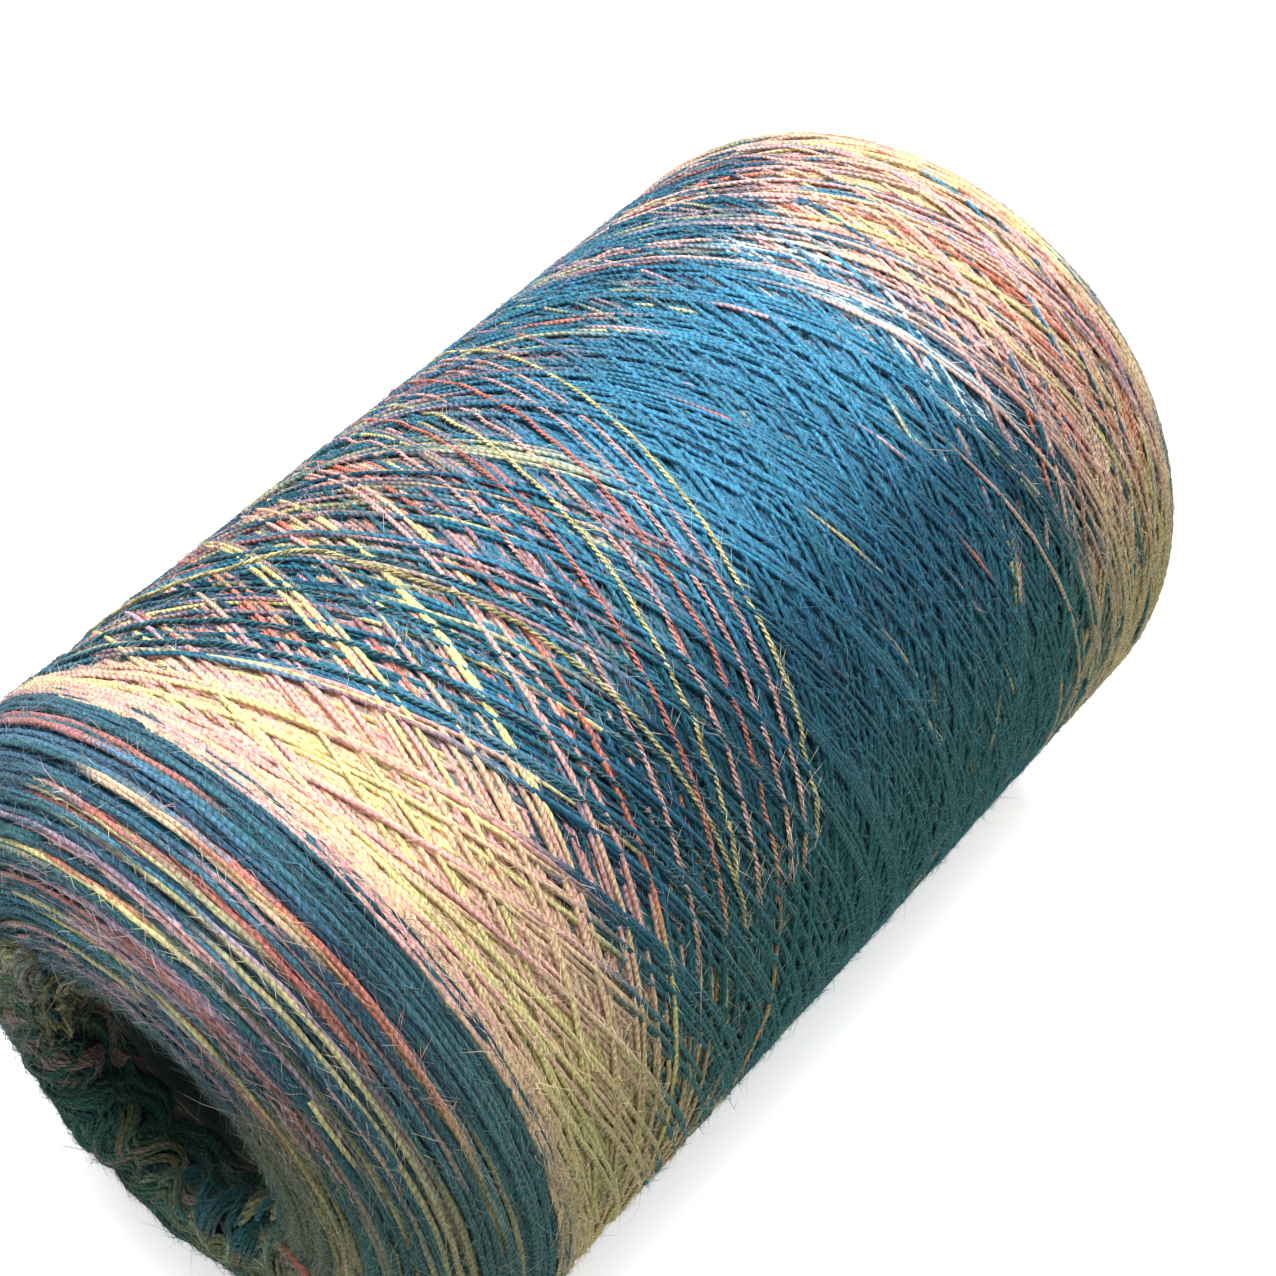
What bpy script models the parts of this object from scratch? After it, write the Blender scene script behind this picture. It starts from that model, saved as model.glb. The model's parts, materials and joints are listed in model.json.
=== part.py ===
"""Cone of two-ply yarn lying on its side: paper core, nested lays of winding and loose surface passes.

Metres, +Z up.  The winding's axis lies in the YZ plane, nose towards -Y, and it climbs towards +Y by
the cone's own half angle, because the cone rests along one side line.  Pieces are modelled about
their own Z axis, which an empty turns onto the winding's axis: local Z runs from nose to base, local
-Y is the top of the lying cone and local X stays world X.
"""
from math import cos, pi, radians, sin, sqrt, tan

import bmesh
import bpy

# Winding
TAPER = radians(3.5)         # half angle of the core and of every lay
BASE_RADIUS = 0.060          # barrel radius at the base plane
WINDING_LENGTH = 0.173       # nose plane to base plane
SHOULDER_LENGTH = 0.0162     # along the axis, from the nose plane back to the barrel
NOSE_FLAT_RADIUS = 0.030     # where the rounded shoulder meets the flat of the nose
BASE_ROUND = 0.006           # rounding of the base edge
REST_SAG = 0.0012            # how far the soft winding flattens where it lies
LAY_SHARES = (0.22, 0.49, 0.75)   # of the winding's thickness, where one lay ends and the next begins
LAY_GAP = 0.0003

# Paper core
CORE_BASE_RADIUS = 0.0320    # outer radius at the core's wide end
CORE_WALL = 0.0018
CORE_STANDOUT = 0.016        # length of core that shows past the base of the winding
CORE_FIT_GAP = 0.0003        # core to innermost lay
START_BAND_WIDTH = 0.0042    # first turns, on the bare base end of the core
START_BAND_THICKNESS = 0.0012
START_BAND_FROM_END = 0.0060

# Mouth, the recess in the nose that the folded strands sit in
MOUTH_STEP = 0.0015          # how much wider it is than the bore
MOUTH_DEPTH = 0.0075
CORE_NOSE_GAP = 0.0005       # floor of the recess to the core's nose
FOLD_RADIUS = 0.0011         # half the thickness of the folded hank
FOLD_WAVE = 0.0007
FOLD_WAVES = 9
FOLD_POINTS = 54

# Strands
YARN_DIAMETER = 0.0007
STRAND_GAP = 0.0003          # between a strand and what it lies on
FACET_ALLOWANCE = 0.00012    # strands are chords of a curve, and so is the barrel
CROSS_ANGLE = radians(16.0)  # a pass against the circumference
PASS_FROM = radians(-62.0)   # angle about the axis, from the top towards +X
PASS_TO = radians(76.0)
PASS_POINTS = 24

# Passes: place at the top, as a share of the winding's length, and yarn colour
PASSES_OUT = ((0.522, "yarn_yellow"), (0.506, "yarn_pink"), (0.488, "yarn_pink"), (0.470, "yarn_salmon"),
              (0.448, "yarn_pink"), (0.430, "yarn_yellow"), (0.408, "yarn_salmon"), (0.378, "yarn_pink"))
PASSES_BACK = ((0.182, "yarn_teal"), (0.208, "yarn_teal"), (0.246, "yarn_teal"), (0.290, "yarn_teal"))

# Loose pass: share of the length, angle from the top in degrees, lift off the passes under it
LOOSE_ROUTE = ((0.176, -52, 0.0000), (0.200, -34, 0.0003), (0.228, -17, 0.0015), (0.262, -8, 0.0022),
               (0.280, 4, 0.0016), (0.302, 16, 0.0006), (0.318, 32, 0.0002), (0.322, 56, 0.0000),
               (0.316, 78, 0.0000))
LOOSE_STEPS = 5

TURN_STEPS = 56              # the same on every ring, so that the facets of nested rings line up
SHOULDER_STEPS = 7
ROUND_STEPS = 4
WELD = 0.00001
CUTTER_SIZE = 1.0

SLOPE = tan(TAPER)
NOSE_RADIUS = BASE_RADIUS - WINDING_LENGTH * SLOPE
SHOULDER_HEIGHT = NOSE_RADIUS + SHOULDER_LENGTH * SLOPE - NOSE_FLAT_RADIUS
CORE_BASE_END = WINDING_LENGTH + CORE_STANDOUT
CORE_NOSE_END = MOUTH_DEPTH + CORE_NOSE_GAP

COLOURS = {
    "yarn_teal": (0.050, 0.200, 0.330, 1.0),
    "yarn_yellow": (0.780, 0.700, 0.280, 1.0),
    "yarn_pink": (0.800, 0.380, 0.400, 1.0),
    "yarn_salmon": (0.730, 0.220, 0.160, 1.0),
    "core_paper": (0.420, 0.300, 0.190, 1.0),
}


def core_radius(along):
    """Outer radius of the core at a distance from the winding's nose plane."""
    return CORE_BASE_RADIUS - (CORE_BASE_END - along) * SLOPE


def winding_radius(along):
    """Outer radius of the winding at a distance from its nose plane, shoulder included."""
    short = max(0.0, SHOULDER_LENGTH - along) / SHOULDER_LENGTH
    if short > 0.0:
        return NOSE_FLAT_RADIUS + SHOULDER_HEIGHT * sqrt(1.0 - short * short)
    return NOSE_RADIUS + along * SLOPE


def nose_face(radius):
    """Distance of the nose surface from the nose plane, at a radius."""
    share = min(1.0, max(0.0, (radius - NOSE_FLAT_RADIUS) / SHOULDER_HEIGHT))
    return SHOULDER_LENGTH * (1.0 - sqrt(1.0 - share * share))


def mouth_radius():
    """Radius of the recess in the nose."""
    return core_radius(MOUTH_DEPTH) + CORE_FIT_GAP + MOUTH_STEP


def new_collection(name):
    """Collection of a given name in the scene."""
    collection = bpy.data.collections.new(name)
    bpy.context.scene.collection.children.link(collection)
    return collection


def material(name):
    """The named material, made the first time it is asked for."""
    found = bpy.data.materials.get(name)
    if found is None:
        found = bpy.data.materials.new(name)
        found.use_nodes = True
        shader = found.node_tree.nodes["Principled BSDF"]
        shader.inputs["Base Color"].default_value = COLOURS[name]
        shader.inputs["Roughness"].default_value = 0.85
        shader.inputs["Metallic"].default_value = 0.0
    return found


def add_object(name, data, axis, collection, slot):
    """Object on the winding's axis, with its material."""
    piece = bpy.data.objects.new(name, data)
    piece.parent = axis
    piece.data.materials.append(material(slot))
    collection.objects.link(piece)
    return piece


def turned(name, outline, axis, collection, slot):
    """Ring from a closed outline of (radius, along), given base to nose on its outer side."""
    mesh = bpy.data.meshes.new(name)
    shape = bmesh.new()
    corners = [shape.verts.new((radius, 0.0, along)) for radius, along in outline]
    for here, after in zip(corners, corners[1:] + corners[:1]):
        shape.edges.new((here, after))
    shape.to_mesh(mesh)
    shape.free()
    piece = add_object(name, mesh, axis, collection, slot)
    screw = piece.modifiers.new("turn", "SCREW")
    screw.axis = "Z"
    screw.angle = 2.0 * pi
    screw.steps = TURN_STEPS
    screw.render_steps = TURN_STEPS
    screw.use_merge_vertices = True
    screw.merge_threshold = WELD
    screw.use_smooth_shade = True
    return piece


def outer_side():
    """Outline of the barrel from the rounded base edge to the start of the shoulder."""
    centre = winding_radius(WINDING_LENGTH) - BASE_ROUND
    points = []
    for step in range(ROUND_STEPS + 1):
        turn = 0.5 * pi * step / ROUND_STEPS
        points.append((centre + BASE_ROUND * sin(turn), WINDING_LENGTH - BASE_ROUND * (1.0 - cos(turn))))
    points.append((winding_radius(SHOULDER_LENGTH), SHOULDER_LENGTH))
    return points


def buried_side(outer):
    """Outline of the outer side of a lay that another covers, from base to nose."""
    nose_outer = outer + nose_face(outer) * SLOPE
    return [(outer + WINDING_LENGTH * SLOPE, WINDING_LENGTH), (nose_outer, nose_face(nose_outer))]


def lay_outline(inner, outer, innermost, outermost):
    """Outline of one lay between two radii at the nose plane."""
    points = outer_side() if outermost else buried_side(outer)
    nose_outer = points[-1][0]
    nose_inner = mouth_radius() if innermost else inner + nose_face(inner) * SLOPE
    bunching = 2 if outermost else 1
    for step in range(1, SHOULDER_STEPS + 1):
        radius = nose_outer + (nose_inner - nose_outer) * (step / SHOULDER_STEPS) ** bunching
        points.append((radius, nose_face(radius)))
    if innermost:
        points.append((nose_inner, MOUTH_DEPTH))
        points.append((inner + MOUTH_DEPTH * SLOPE, MOUTH_DEPTH))
    points.append((inner + WINDING_LENGTH * SLOPE, WINDING_LENGTH))
    return points


def make_lays(axis, collection):
    """The winding as nested lays, each a tapered sleeve ending on the nose and base faces."""
    names = ("inner_lay", "second_lay", "third_lay", "outer_lay")
    bore = core_radius(0.0) + CORE_FIT_GAP
    edges = [bore + (NOSE_RADIUS - bore) * share for share in (0.0, *LAY_SHARES, 1.0)]
    lays = []
    for index, name in enumerate(names):
        innermost = index == 0
        inner = edges[index] if innermost else edges[index] + LAY_GAP
        outline = lay_outline(inner, edges[index + 1], innermost, index == len(names) - 1)
        lays.append(turned(name, outline, axis, collection, "yarn_teal"))
    return lays


def flatten_underside(piece, cutters):
    """The soft winding lies flat along the line that it rests on."""
    mesh = bpy.data.meshes.new("floor_cut")
    shape = bmesh.new()
    bmesh.ops.create_cube(shape, size=CUTTER_SIZE)
    bmesh.ops.translate(shape, verts=shape.verts, vec=(0.0, 0.0, -0.5 * CUTTER_SIZE))
    shape.to_mesh(mesh)
    shape.free()
    cutter = bpy.data.objects.new("floor_cut", mesh)
    cutter.display_type = "WIRE"
    cutter.hide_render = True
    cutters.objects.link(cutter)
    cut = piece.modifiers.new("rest", "BOOLEAN")
    cut.operation = "DIFFERENCE"
    cut.solver = "EXACT"
    cut.object = cutter


def make_core(axis, collection):
    """Tapered paper tube with a rolled nose, its wide end past the base of the winding."""
    half_wall = 0.5 * CORE_WALL
    nose_centre = core_radius(CORE_NOSE_END) - half_wall
    points = [(CORE_BASE_RADIUS, CORE_BASE_END)]
    for step in range(2 * ROUND_STEPS + 1):
        turn = 0.5 * pi * step / ROUND_STEPS
        points.append((nose_centre + half_wall * cos(turn), CORE_NOSE_END + half_wall * (1.0 - sin(turn))))
    points.append((CORE_BASE_RADIUS - CORE_WALL, CORE_BASE_END))
    turned("core_cone", points, axis, collection, "core_paper")


def make_start_turns(axis, collection):
    """Band of the first turns, on the bare end of the core."""
    high = CORE_BASE_END - START_BAND_FROM_END
    low = high - START_BAND_WIDTH
    edge = 0.35 * START_BAND_THICKNESS
    inner_high = core_radius(high) + STRAND_GAP
    inner_low = core_radius(low) + STRAND_GAP
    points = [(inner_high + START_BAND_THICKNESS - edge, high),
              (inner_high + START_BAND_THICKNESS, high - edge),
              (inner_low + START_BAND_THICKNESS, low + edge),
              (inner_low + START_BAND_THICKNESS - edge, low),
              (inner_low, low),
              (inner_high, high)]
    turned("start_turns", points, axis, collection, "yarn_teal")


def strand(name, points, thickness, axis, collection, slot, closed=False):
    """Round strand through points, as a polyline with a bevel."""
    curve = bpy.data.curves.new(name, "CURVE")
    curve.dimensions = "3D"
    curve.bevel_depth = 0.5 * thickness
    curve.bevel_resolution = 1
    curve.use_fill_caps = True
    curve.render_resolution_u = 0
    spline = curve.splines.new("POLY")
    spline.points.add(len(points) - 1)
    for knot, place in zip(spline.points, points):
        knot.co = (*place, 1.0)
    spline.use_cyclic_u = closed
    add_object(name, curve, axis, collection, slot)


def on_winding(along, angle, height):
    """Point at a height over the winding; the angle runs from the top towards +X."""
    radius = winding_radius(along) + height
    return (radius * sin(angle), -radius * cos(angle), along)


def level_height(level):
    """Height of a strand's centre line over the winding, by how many strands lie under it."""
    lowest = STRAND_GAP + FACET_ALLOWANCE + 0.5 * YARN_DIAMETER
    return lowest + level * (YARN_DIAMETER + STRAND_GAP + FACET_ALLOWANCE)


def make_pass(number, share, direction, level, axis, collection, slot):
    """One pass of yarn over the barrel, along a helix."""
    top = share * WINDING_LENGTH
    lead = direction * winding_radius(top) * tan(CROSS_ANGLE)
    points = []
    for step in range(PASS_POINTS):
        angle = PASS_FROM + (PASS_TO - PASS_FROM) * step / (PASS_POINTS - 1)
        points.append(on_winding(top + lead * angle, angle, level_height(level)))
    strand(f"outer_pass_{number:02d}", points, YARN_DIAMETER, axis, collection, slot)


def make_passes(axis, collection):
    """Single passes that stand out on the skin, the crossing ones on top."""
    number = 0
    for direction, level, passes in ((-1.0, 0, PASSES_OUT), (1.0, 1, PASSES_BACK)):
        for share, slot in passes:
            number += 1
            make_pass(number, share, direction, level, axis, collection, slot)


def smooth_between(before, start, end, after, share):
    """Point on the Catmull-Rom curve between start and end."""
    return tuple(0.5 * (2.0 * b + (c - a) * share + (2.0 * a - 5.0 * b + 4.0 * c - d) * share ** 2
                        + (3.0 * b - a - 3.0 * c + d) * share ** 3)
                 for a, b, c, d in zip(before, start, end, after))


def make_loose_pass(axis, collection):
    """The pass that has come up off the winding near the nose."""
    route = [LOOSE_ROUTE[0], *LOOSE_ROUTE, LOOSE_ROUTE[-1]]
    stations = []
    for index in range(len(LOOSE_ROUTE) - 1):
        for step in range(LOOSE_STEPS):
            stations.append(smooth_between(*route[index:index + 4], step / LOOSE_STEPS))
    stations.append(LOOSE_ROUTE[-1])
    points = [on_winding(share * WINDING_LENGTH, radians(degrees), level_height(2) + max(0.0, lift))
              for share, degrees, lift in stations]
    strand("loose_outer_pass", points, YARN_DIAMETER, axis, collection, "yarn_yellow")


def make_mouth_folds(axis, collection):
    """Folded hank of strands round the mouth, in front of the core's nose."""
    ring = mouth_radius() - STRAND_GAP - FACET_ALLOWANCE - FOLD_WAVE - FOLD_RADIUS
    points = []
    for step in range(FOLD_POINTS):
        angle = 2.0 * pi * step / FOLD_POINTS
        radius = ring + FOLD_WAVE * sin(FOLD_WAVES * angle)
        along = 0.5 * MOUTH_DEPTH + FOLD_WAVE * cos(FOLD_WAVES * angle)
        points.append((radius * sin(angle), -radius * cos(angle), along))
    strand("mouth_folds", points, 2.0 * FOLD_RADIUS, axis, collection, "yarn_teal", closed=True)


def place_axis(collection):
    """Empty at the middle of the nose plane, its Z along the winding; the origin is mid-length."""
    nose_reach = (SHOULDER_LENGTH * cos(TAPER) - NOSE_FLAT_RADIUS * sin(TAPER)
                  - sqrt((SHOULDER_LENGTH * cos(TAPER)) ** 2 + (SHOULDER_HEIGHT * sin(TAPER)) ** 2))
    base_reach = CORE_BASE_END * cos(TAPER) + CORE_BASE_RADIUS * sin(TAPER)
    axis = bpy.data.objects.new("winding_axis", None)
    axis.location = (0.0, -0.5 * (nose_reach + base_reach), NOSE_RADIUS * cos(TAPER) - REST_SAG)
    axis.rotation_euler = (TAPER - 0.5 * pi, 0.0, 0.0)
    collection.objects.link(axis)
    return axis


def main():
    """Build the package in an empty scene."""
    for old in list(bpy.data.objects):
        bpy.data.objects.remove(old, do_unlink=True)
    parts = new_collection("yarn_package")
    cutters = new_collection("cutters")
    axis = place_axis(parts)
    lays = make_lays(axis, parts)
    flatten_underside(lays[-1], cutters)
    make_core(axis, parts)
    make_start_turns(axis, parts)
    make_mouth_folds(axis, parts)
    make_passes(axis, parts)
    make_loose_pass(axis, parts)
    bpy.context.view_layer.update()


main()
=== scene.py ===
"""Looks of a cone of space-dyed two-ply yarn lying on its side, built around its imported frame."""
import json
from math import atan2, cos, pi, radians, sin, sqrt, tan

import bmesh
import bpy
import numpy as np
from mathutils import Matrix, Vector


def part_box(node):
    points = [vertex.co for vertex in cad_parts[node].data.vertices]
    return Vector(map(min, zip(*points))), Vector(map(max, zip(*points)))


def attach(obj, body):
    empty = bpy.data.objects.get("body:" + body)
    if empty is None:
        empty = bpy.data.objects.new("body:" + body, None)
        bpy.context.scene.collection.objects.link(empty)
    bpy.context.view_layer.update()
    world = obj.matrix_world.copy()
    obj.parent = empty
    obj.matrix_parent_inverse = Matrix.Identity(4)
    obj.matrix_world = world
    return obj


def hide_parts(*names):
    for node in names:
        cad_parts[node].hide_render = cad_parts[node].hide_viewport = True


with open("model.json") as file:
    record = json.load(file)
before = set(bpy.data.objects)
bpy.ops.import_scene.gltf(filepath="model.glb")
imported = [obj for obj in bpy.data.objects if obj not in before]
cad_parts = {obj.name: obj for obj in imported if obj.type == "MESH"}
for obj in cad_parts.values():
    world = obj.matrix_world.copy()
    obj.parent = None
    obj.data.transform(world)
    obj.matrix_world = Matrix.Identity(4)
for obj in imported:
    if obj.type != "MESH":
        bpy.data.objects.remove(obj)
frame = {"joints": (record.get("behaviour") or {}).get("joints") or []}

bl_info = {
    "name": "Cone of space-dyed yarn",
    "version": (1, 0, 0),
    "blender": (4, 5, 0),
    "location": "View3D > Sidebar > Yarn",
    "description": "Winds a cone of two-ply yarn, pass by pass, on its paper core",
    "category": "Add Mesh",
}

MM = 1000.0                    # millimetres in a metre

# Shape of the winding, in metres, as its solids have it
WINDING_LENGTH = 0.173
SHOULDER_LENGTH = 0.0162
NOSE_FLAT_RADIUS = 0.030
BASE_ROUND = 0.006
LIP_RADIUS = 0.0206            # inner edge of the nose face
MOUTH_DEPTH = 0.0075
CORE_STANDOUT = 0.016
BORE_GAP = 0.0003              # core to innermost lay
TAPER = radians(3.5)           # of the barrel's side against its axis
PAPER_PITCH = 0.030            # along the core, from seam to seam

AXIS = Vector(frame["joints"][0]["axis"]).normalized()     # from nose to base
CORE_BASE_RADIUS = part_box("core_cone")[1].x
BASE_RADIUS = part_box("outer_lay")[1].x
SLOPE = AXIS.z / AXIS.y
UP = Vector((0.0, -AXIS.z, AXIS.y))
CORE_BASE = Vector((0.0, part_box("core_cone")[1].y - CORE_BASE_RADIUS * AXIS.z,
                    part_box("core_cone")[1].z - CORE_BASE_RADIUS * AXIS.y))
NOSE = CORE_BASE - AXIS * (WINDING_LENGTH + CORE_STANDOUT)
NOSE_RADIUS = BASE_RADIUS - WINDING_LENGTH * SLOPE
SHOULDER_HEIGHT = NOSE_RADIUS + SHOULDER_LENGTH * SLOPE - NOSE_FLAT_RADIUS

WINDING = "winding"
CORE = "core"


# ---------------------------------------------------------------- settings

class YARN_PG_sizes(bpy.types.PropertyGroup):
    """Sizes of the yarn and of how it is wound."""
    yarn: bpy.props.FloatProperty(
        name="Yarn diameter", description="Thickness of the two-ply yarn", default=0.00070, unit="LENGTH")
    ply_pitch: bpy.props.FloatProperty(
        name="Ply pitch", description="Length of yarn in one full turn of its plies", default=0.0020,
        unit="LENGTH")
    cross_angle: bpy.props.FloatProperty(
        name="Cross angle", description="Angle of a pass against the circumference",
        default=radians(16.5), subtype="ANGLE")
    passes: bpy.props.IntProperty(
        name="Passes", description="Passes wound in each direction", default=300)
    short_fibres: bpy.props.IntProperty(
        name="Short fibres", description="Short straight fibres raised over the winding", default=166000)
    long_fibres: bpy.props.IntProperty(
        name="Long fibres", description="Long bent fibres raised over the winding", default=17000)
    fibre: bpy.props.FloatProperty(
        name="Fibre thickness", description="Thickness of a loose fibre", default=0.000075,
        unit="LENGTH")
    segment: bpy.props.FloatProperty(
        name="Segment", description="Length of one straight piece of a strand", default=0.0046,
        unit="LENGTH")


def colour(name, text, value):
    """Colour property given in linear red, green and blue."""
    return bpy.props.FloatVectorProperty(name=name, description=text, default=value, size=3,
                                         subtype="COLOR", min=0.0, max=1.0)


class YARN_PG_colours(bpy.types.PropertyGroup):
    """Dyes of the yarn and the colours of the core, whose near-black inside is painted shade."""
    denim: colour("Denim", "Main blue of the yarn", (0.084, 0.335, 0.540))
    teal: colour("Teal", "Darker, greener blue", (0.028, 0.165, 0.215))
    navy: colour("Navy", "Deep blue of the nose face", (0.022, 0.095, 0.170))
    # Green, and olive for warm yarn, also tint the painted shade on the low side (Dyer.side).
    green: colour("Green", "Blue-green stretches", (0.022, 0.110, 0.088))
    olive: colour("Olive", "Olive stretches", (0.240, 0.230, 0.085))
    yellow: colour("Yellow", "Pale yellow stretches", (0.920, 0.800, 0.360))
    peach: colour("Peach", "Peach stretches", (0.940, 0.640, 0.420))
    pink: colour("Pink", "Pink stretches", (0.920, 0.500, 0.450))
    salmon: colour("Salmon", "Strong salmon stretches", (0.760, 0.240, 0.170))
    lilac: colour("Lilac", "Lilac-pink stretches", (0.640, 0.420, 0.520))
    mint: colour("Mint", "Near-white flecks", (0.820, 0.920, 0.900))
    # Near black for the inside of the core: painted shade in the bore.
    shaded_lining: colour("Lining", "Grey board lining of the core", (0.040, 0.055, 0.045))
    paper: colour("Paper", "Kraft paper of the core", (0.420, 0.290, 0.180))


class YARN_PG_stage(bpy.types.PropertyGroup):
    """Camera and lights."""
    azimuth: bpy.props.FloatProperty(
        name="Azimuth", description="Camera round the package", default=radians(36.05), subtype="ANGLE")
    elevation: bpy.props.FloatProperty(
        name="Elevation", description="Camera above the table", default=radians(37.83), subtype="ANGLE")
    distance: bpy.props.FloatProperty(
        name="Distance", description="Camera to the middle of the package", default=0.2560, unit="LENGTH")
    aim_right: bpy.props.FloatProperty(
        name="Aim right", description="View's centre, right of the package's middle", default=0.00863,
        unit="LENGTH")
    aim_up: bpy.props.FloatProperty(
        name="Aim up", description="View's centre, above the package's middle", default=0.01094,
        unit="LENGTH")
    lens: bpy.props.FloatProperty(
        name="Lens", description="Focal length on a 36 mm sensor, in millimetres", default=46.78)


def settings():
    """Sizes, colours and stage of the current scene."""
    scene = bpy.context.scene
    return scene.yarn_sizes, scene.yarn_colours, scene.yarn_stage


# ---------------------------------------------------------------- shape of the winding

def core_radius(along):
    """Outer radius of the core at a distance from the nose plane."""
    return CORE_BASE_RADIUS - (WINDING_LENGTH + CORE_STANDOUT - along) * SLOPE


def spokes(angle):
    """Directions square to the axis, by angle round from the top."""
    return np.sin(angle)[:, None] * np.array((1.0, 0.0, 0.0)) + np.cos(angle)[:, None] * np.array(UP)


class Meridian:
    """Outline of a turned surface as radius and distance from the nose plane, by arc length."""

    def __init__(self, corners, step=0.0003):
        corners = np.array(corners, float)
        length = np.r_[0.0, np.cumsum(np.hypot(*np.diff(corners, axis=0).T))]
        self.total = float(length[-1])
        self.at = np.linspace(0.0, self.total, int(self.total / step) + 2)
        self.radius = np.interp(self.at, length, corners[:, 0])
        self.along = np.interp(self.at, length, corners[:, 1])
        ease = np.ones(9) / 9.0
        turn_r = np.gradient(self.radius, self.at)
        turn_s = np.gradient(self.along, self.at)
        turn_r = np.convolve(np.pad(turn_r, 4, "edge"), ease, "valid")
        turn_s = np.convolve(np.pad(turn_s, 4, "edge"), ease, "valid")
        size = np.hypot(turn_r, turn_s)
        self.out_r, self.out_s = turn_s / size, -turn_r / size

    def place(self, at, angle, height):
        """World points over the surface, and the surface's normals there."""
        radius = np.interp(at, self.at, self.radius)
        along = np.interp(at, self.at, self.along)
        out_r = np.interp(at, self.at, self.out_r)
        out_s = np.interp(at, self.at, self.out_s)
        ring = spokes(angle)
        axis = np.array(AXIS)
        normal = out_r[:, None] * ring + out_s[:, None] * axis
        point = np.array(NOSE) + along[:, None] * axis + radius[:, None] * ring
        return point + normal * np.asarray(height)[:, None], normal

    def at_radius(self, at):
        """Radius of the surface at an arc length."""
        return np.interp(at, self.at, self.radius)


def nose_to_base():
    """Corners of the outline from the mouth's lip over nose, barrel and base edge to the core."""
    corners = [(LIP_RADIUS, 0.0015), (LIP_RADIUS + 0.0005, 0.0005), (LIP_RADIUS + 0.0015, 0.0)]
    for step in range(41):
        turn = 0.5 * pi * step / 40
        corners.append((NOSE_FLAT_RADIUS + SHOULDER_HEIGHT * sin(turn), SHOULDER_LENGTH * (1.0 - cos(turn))))
    for step in range(13):
        turn = 0.5 * pi * step / 12
        corners.append((BASE_RADIUS - BASE_ROUND + BASE_ROUND * cos(turn),
                        WINDING_LENGTH - BASE_ROUND + BASE_ROUND * sin(turn)))
    corners.append((core_radius(WINDING_LENGTH) + 0.0010, WINDING_LENGTH))
    return corners


SKIN = Meridian(nose_to_base())
SHOULDER_AT = float(np.interp(SHOULDER_LENGTH, SKIN.along, SKIN.at))
EDGE_AT = float(np.interp(WINDING_LENGTH - BASE_ROUND, SKIN.along, SKIN.at))


# ---------------------------------------------------------------- dyes and painted shade

def ramp(value, low, high):
    """Smooth step from 0 at low to 1 at high."""
    share = np.clip((value - low) / (high - low), 0.0, 1.0)
    return share * share * (3.0 - 2.0 * share)


def window(value, low, high, soft):
    """1 between low and high, falling to 0 over a soft edge outside them."""
    return ramp(value, low - soft, low) * (1.0 - ramp(value, high, high + soft))


def blend(low, high, share):
    """Mix of two colours, or of two lists of colours."""
    share = np.asarray(share)[:, None]
    return low * (1.0 - share) + high * share


def wander(rng, count, reach, size):
    """Slow random drift along a strand, as wide as reach samples."""
    knots = max(3, count // reach + 3)
    return np.interp(np.linspace(0, knots - 1, count), np.arange(knots), rng.normal(0.0, size, knots))


def signed(angle):
    """Angles brought to between half a turn back and half a turn on."""
    return np.mod(angle + pi, 2.0 * pi) - pi


# Streaks of dye on the nose face: distance from the lip and half width in millimetres,
# first and last degree round from the top, dye, strength
NOSE_STREAKS = (
    (6.0, 0.5, -24, 2, "pink", 0.45),
    (9.5, 0.5, -16, 16, "lilac", 0.50),
    (12.8, 0.6, -2, 26, "salmon", 0.70),
    (14.9, 0.8, 2, 52, "pink", 0.75),
    (16.8, 0.9, 6, 58, "salmon", 0.95),
    (18.4, 0.5, -6, 34, "lilac", 0.65),
    (20.6, 0.7, -14, 34, "yellow", 1.00),
    (21.8, 0.5, 24, 70, "olive", 0.80),
    (23.6, 0.6, -26, 22, "lilac", 0.90),
    (26.2, 0.6, -10, 30, "yellow", 0.60),
    (27.6, 0.5, 18, 66, "yellow", 0.50),
    (28.6, 0.7, 4, 50, "salmon", 0.80),
    (31.4, 0.9, -4, 24, "peach", 1.00),
    (32.2, 0.7, 14, 60, "salmon", 0.90),
    (31.8, 0.4, 22, 80, "yellow", 0.90),
    (34.6, 0.5, -30, -4, "salmon", 0.70),
    (36.2, 0.5, -26, 12, "salmon", 0.70),
    (13.6, 1.0, 58, 128, "olive", 0.85),
    (10.6, 0.8, 66, 150, "olive", 0.75),
    (18.0, 0.7, 60, 112, "pink", 0.45),
    (24.0, 0.7, 66, 120, "olive", 0.70),
    (28.0, 0.7, 78, 130, "olive", 0.80),
    (33.4, 0.7, 58, 118, "olive", 0.80),
)


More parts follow.
